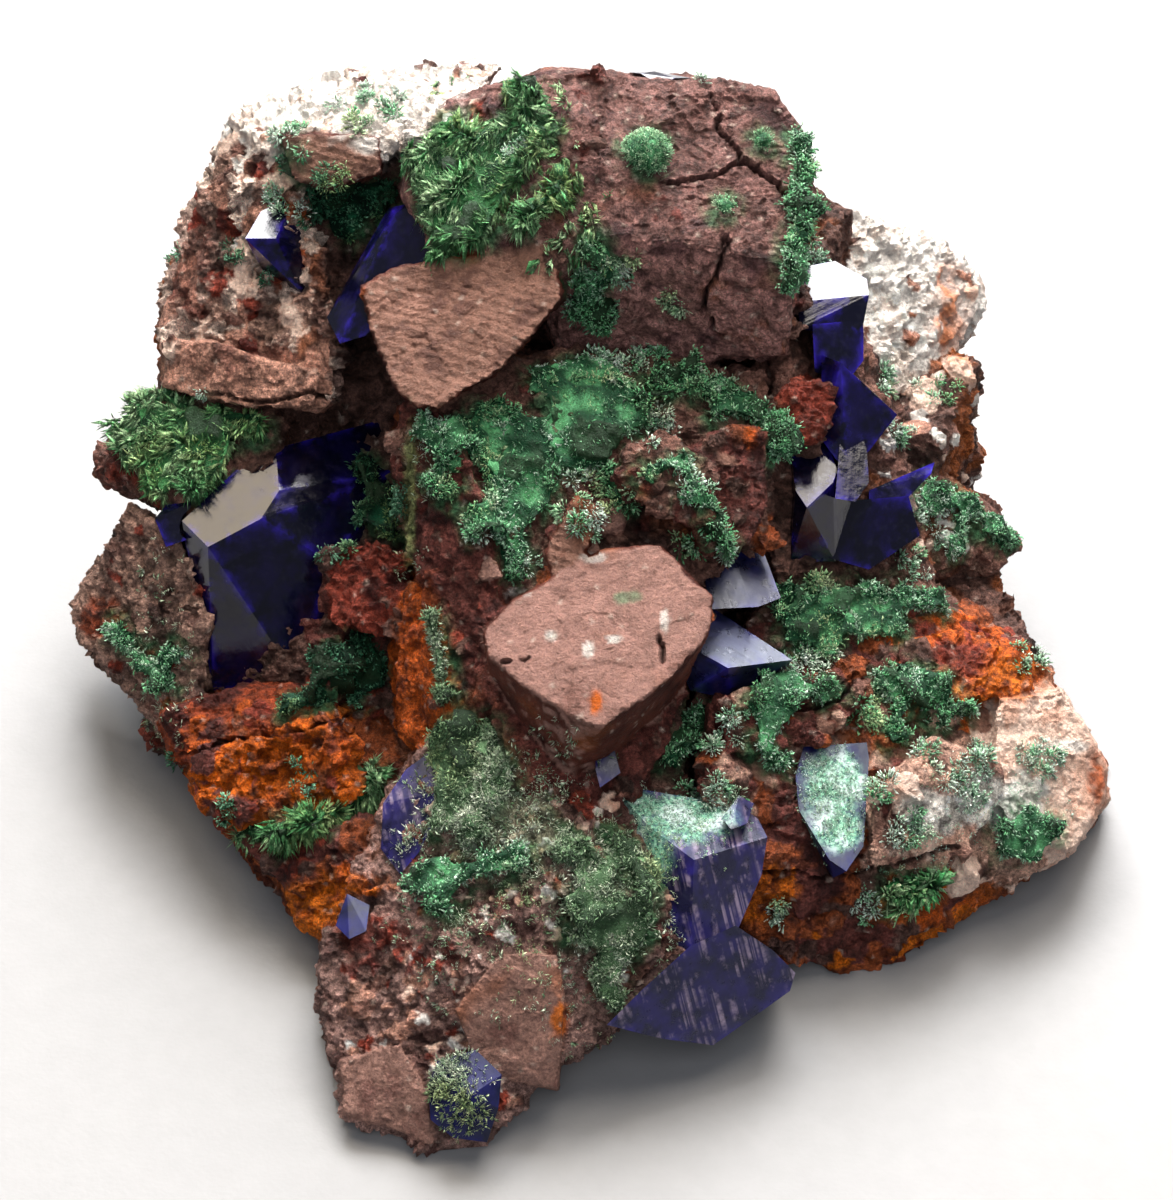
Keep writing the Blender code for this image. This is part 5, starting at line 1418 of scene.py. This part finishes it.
# ---- azurite ----
WHITE = (1.0, 1.0, 1.0, 1.0)
BLUISH = (0.78, 0.84, 1.0, 1.0)
NAVY = ((0.0015, 0.0015, 0.008), (0.003, 0.002, 0.022))
BLUE = ((0.003, 0.004, 0.02), (0.006, 0.007, 0.06))
VIOLET = ((0.004, 0.003, 0.022), (0.012, 0.008, 0.070))
STREAK_ACROSS = (0.97, 0.12, 0.20)     # direction across the streaks, which run up the face
STREAKED = ("azurite_lower_right", "azurite_lower_left", "azurite_under_slab")
COATED = ("azurite_lower_right", "azurite_coated_prism")
RIDGE_ANGLE = 12.0          # degrees between facets whose edge shows as a rim
RIM_WIDTH = 0.30            # how far the painted royal-blue rim light reaches in
FACET_STEP = 0.8            # longest edge of a facet's triangles

# Finishes of the facets: roughness, mirror strength, haze, body tones, streaks painted pale as sheen and
# painted rim light, then the crystals that have it. The bright one is for all the others.
FINISHES = {
    "azurite_bright": (0.05, 0.30, 0.03, NAVY, 0.0, 0.6, ()),
    "azurite_dull": (0.24, 0.72, 0.16, BLUE, 0.0, 0.6, ("azurite_middle_pair",)),
    "azurite_mossy": (0.40, 0.25, 0.03, BLUE, 0.0, 0.08,
                      ("azurite_foot", "azurite_foot_chip", "azurite_coated_prism")),
    "azurite_streaked": (0.24, 0.32, 0.06, VIOLET, 0.8, 0.25, STREAKED),
}


def split_fine(bm, longest):
    """Splits the triangles until no edge is longer than longest."""
    for _ in range(7):
        wide = [edge for edge in bm.edges if edge.calc_length() > longest]
        if not wide:
            break
        bmesh.ops.subdivide_edges(bm, edges=wide, cuts=1)
        bmesh.ops.triangulate(bm, faces=[face for face in bm.faces if len(face.verts) > 3])


def ridges_of(bm):
    """Outward edges between facets, each as its two ends."""
    return [[np.array(vert.co) for vert in edge.verts] for edge in bm.edges
            if edge.is_manifold and edge.calc_face_angle_signed() > math.radians(RIDGE_ANGLE)]


def numbered_facets(bm):
    """Layer that numbers the facets, and the direction across each that its growth lines follow."""
    numbers = bm.faces.layers.int.new("line")
    across = []
    for number, face in enumerate(bm.faces):
        longest = max(face.edges, key=lambda edge: edge.calc_length())
        along = (longest.verts[1].co - longest.verts[0].co).normalized()
        across.append(np.array(face.normal.cross(along)))
        face[numbers] = number
    return numbers, np.array(across)


def coat_on(node, places):
    """How far the pale malachite coat covers each place of a crystal."""
    coat = np.zeros(len(places))
    if node in COATED:
        face = face_place(places)
        fine = fractal(places, 1.4, 3, 181)
        for *patch, _, _ in FILMS:
            edge = patch_reach(face, *patch) + 0.35 * fine
            coat = np.maximum(coat, 1.0 - ramp(edge, 0.7, 1.3))
    return coat


def crystal(node, material):
    """One crystal group: flat facets with marked rims for the painted rim light, and growth lines; returns
    its mesh.
    """
    bm = solid_of(node)
    bmesh.ops.dissolve_limit(bm, angle_limit=math.radians(1.5), verts=bm.verts, edges=bm.edges)
    ridges = ridges_of(bm)
    numbers, across = numbered_facets(bm)
    bmesh.ops.triangulate(bm, faces=bm.faces)
    split_fine(bm, FACET_STEP)
    owner = np.array([face[numbers] for face in bm.faces])
    mesh = to_mesh(bm, node + "_facets")
    places = places_of(mesh)
    mark(mesh, "rim", np.exp(-near_lines(places, ridges, 9.0) / RIM_WIDTH))
    mark(mesh, "coat", coat_on(node, places))
    corner = np.empty(len(mesh.loops), np.int32)
    mesh.loops.foreach_get("vertex_index", corner)
    across = STREAK_ACROSS if node in STREAKED else np.repeat(across[owner], 3, axis=0)
    mark(mesh, "step", (places[corner] * across).sum(axis=1), "CORNER")
    piece_of(node + "_facets", mesh, material, "azurite", node)
    return mesh


def azurite_material(name, gloss, shine, haze, body_tones, streaks, light):
    """Deep blue glassy crystal, with royal blue painted light along its thin rims, where light would come
    through.
    """
    tint = BLUISH if gloss > 0.2 else WHITE
    shader = Shader(name, gloss, IOR=1.73, Specular_Tint=tint, Specular_IOR_Level=shine)
    rim = shader.attribute("rim", "Fac")
    step = shader.attribute("step", "Fac")
    coat = shader.attribute("coat", "Fac")
    cloud = shader.noise(2.6, 3.0, 0.6)
    # Painted light: royal blue laid along the rims where light would come through.
    painted_rim_light = shader.sums("MULTIPLY", rim, shader.spread(cloud, 0.45, 0.70, 0.0, light))
    body = shader.blend(shader.spread(cloud, 0.42, 0.62), *body_tones)
    colour = shader.blend(painted_rim_light, body, (0.03, 0.015, 0.40))
    line = shader.nodes.new("ShaderNodeTexNoise")
    line.noise_dimensions = "1D"
    line.inputs["Scale"].default_value = 1.6
    line.inputs["Detail"].default_value = 3.0
    shader.links.new(step, line.inputs["W"])
    # Pale streaks along the real growth lines: painted sheen.
    streak_and_sheen = shader.spread(line.outputs["Fac"], 0.46, 0.60, 0.0, streaks)
    streak_and_sheen = shader.sums("MULTIPLY", streak_and_sheen, shader.spread(shader.noise(3.2, 4.0, 0.7), 0.48, 0.62))
    colour = shader.blend(streak_and_sheen, colour, (0.26, 0.20, 0.28))
    frost = shader.spread(shader.noise(0.8, 5.0, 0.7), 0.52, 0.74, 0.0, haze)
    colour = shader.blend(frost, colour, (0.17, 0.18, 0.26))
    speck = shader.noise(0.32, 5.0, 0.75)
    patch = shader.noise(2.2, 3.0, 0.6)
    fleece = shader.blend(shader.spread(speck, 0.45, 0.68), (0.05, 0.24, 0.13), (0.40, 0.70, 0.52))
    fleece = shader.blend(shader.spread(patch, 0.48, 0.62), fleece, (0.56, 0.70, 0.66))
    cover = shader.sums("MULTIPLY", coat, shader.spread(speck, 0.36, 0.52))
    cover = shader.sums("MULTIPLY", cover, shader.spread(patch, 0.30, 0.42, 0.25, 1.0))
    shader.feed("Base Color", shader.blend(cover, colour, fleece))
    smooth = shader.spread(shader.noise(1.3, 5.0, 0.65), 0.35, 0.75, gloss, gloss + 0.25)
    rough = shader.sums("MAXIMUM", smooth, shader.spread(cover, 0.0, 1.0, 0.0, 0.8))
    shader.feed("Roughness", rough)
    lines = shader.relief(line.outputs["Fac"], 0.012)
    shader.feed("Normal", shader.relief(shader.noise(0.6, 4.0, 0.6), 0.012 + 0.03 * haze, lines))
    return shader.material


def finish_name(node):
    """Name of a crystal's finish."""
    for name, (*_, crystals) in FINISHES.items():
        if node in crystals:
            return name
    return "azurite_bright"


# ---- floor, light and camera ----
def pale_floor():
    """Plain pale table top under the specimen."""
    bm = bmesh.new()
    bmesh.ops.create_grid(bm, x_segments=1, y_segments=1, size=4.0)
    floor = placed("floor", to_mesh(bm, "floor"))
    shader = Shader("pale_floor", 0.6)
    tone = shader.noise(3.0, 3.0, 0.6)
    shader.feed("Base Color", shader.blend(tone, (0.20, 0.20, 0.205), (0.23, 0.23, 0.235)))
    shader.feed("Normal", shader.relief(shader.noise(0.5, 2.0, 0.5), 0.02))
    floor.data.materials.append(shader.material)


def lamp(name, azimuth, elevation, distance, size, power, tint, mirrored=True):
    """Square soft light looking at the specimen's middle; distance and size in metres."""
    target = Vector((0.0, 0.0, 0.03))
    turn, rise = math.radians(azimuth), math.radians(elevation)
    back = Vector((math.sin(turn) * math.cos(rise), math.cos(turn) * math.cos(rise), math.sin(rise)))
    light = bpy.data.lights.new(name, "AREA")
    light.shape = "SQUARE"
    light.size = size
    light.energy = power
    light.color = tint
    holder = placed(name, light)
    holder.visible_glossy = mirrored
    holder.location = target + back * distance
    holder.rotation_euler = back.to_track_quat("Z", "Y").to_euler()


def lighting():
    """Soft window light from above and behind, with a pale room around."""
    lamp("window", 4.0, 50.0, 0.45, 0.34, 8.6, (1.0, 0.99, 0.98))
    lamp("ceiling", 60.0, 76.0, 0.6, 0.36, 3.4, (1.0, 0.91, 0.80))
    lamp("wall", -53.0, 59.0, 0.6, 0.24, 1.3, (1.0, 0.84, 0.62))
    lamp("room", 176.0, 46.0, 0.9, 0.6, 3.6, (0.93, 0.96, 1.0), mirrored=False)
    world = bpy.data.worlds.new("room_light")
    world.use_nodes = True
    world.node_tree.nodes["Background"].inputs["Color"].default_value = (0.9, 0.93, 1.0, 1.0)
    world.node_tree.nodes["Background"].inputs["Strength"].default_value = 0.18
    bpy.context.scene.world = world


def photo_camera():
    """Camera where the photograph was taken from."""
    camera = bpy.data.cameras.new("photo_camera")
    camera.sensor_fit = "VERTICAL"
    camera.sensor_height = SENSOR_HEIGHT
    camera.lens = FOCAL_PIXELS * SENSOR_HEIGHT / PHOTO_HEIGHT
    camera.clip_start = 0.01
    holder = placed("photo_camera", camera)
    holder.location = eye_point() * MM
    holder.rotation_euler = (math.radians(90.0 - FACE_LEAN), 0.0, 0.0)
    bpy.context.scene.camera = holder


def build():
    """Dresses the specimen and its stage."""
    chance = np.random.default_rng(7)
    stone = build_stone()
    malachite = malachite_material()
    for node in sorted(NODES):
        if node.startswith("malachite"):
            crust(node, stone, malachite, chance)
    loose_piece("malachite_loose_tufts", ("rosette", "painted_shade_rosette", "fan"), stone, malachite, chance)
    loose_piece("malachite_loose_felt", ("felt", "fur", "film"), stone, malachite, chance)
    finishes = {name: azurite_material(name, *looks) for name, (*looks, _) in FINISHES.items()}
    facets = [crystal(node, finishes[finish_name(node)])
              for node in sorted(NODES) if node.startswith("azurite")]
    crystal_films(tree_of(facets), malachite, chance)
    pale_floor()
    lighting()
    photo_camera()
    bpy.context.scene.view_settings.view_transform = "Standard"


build()
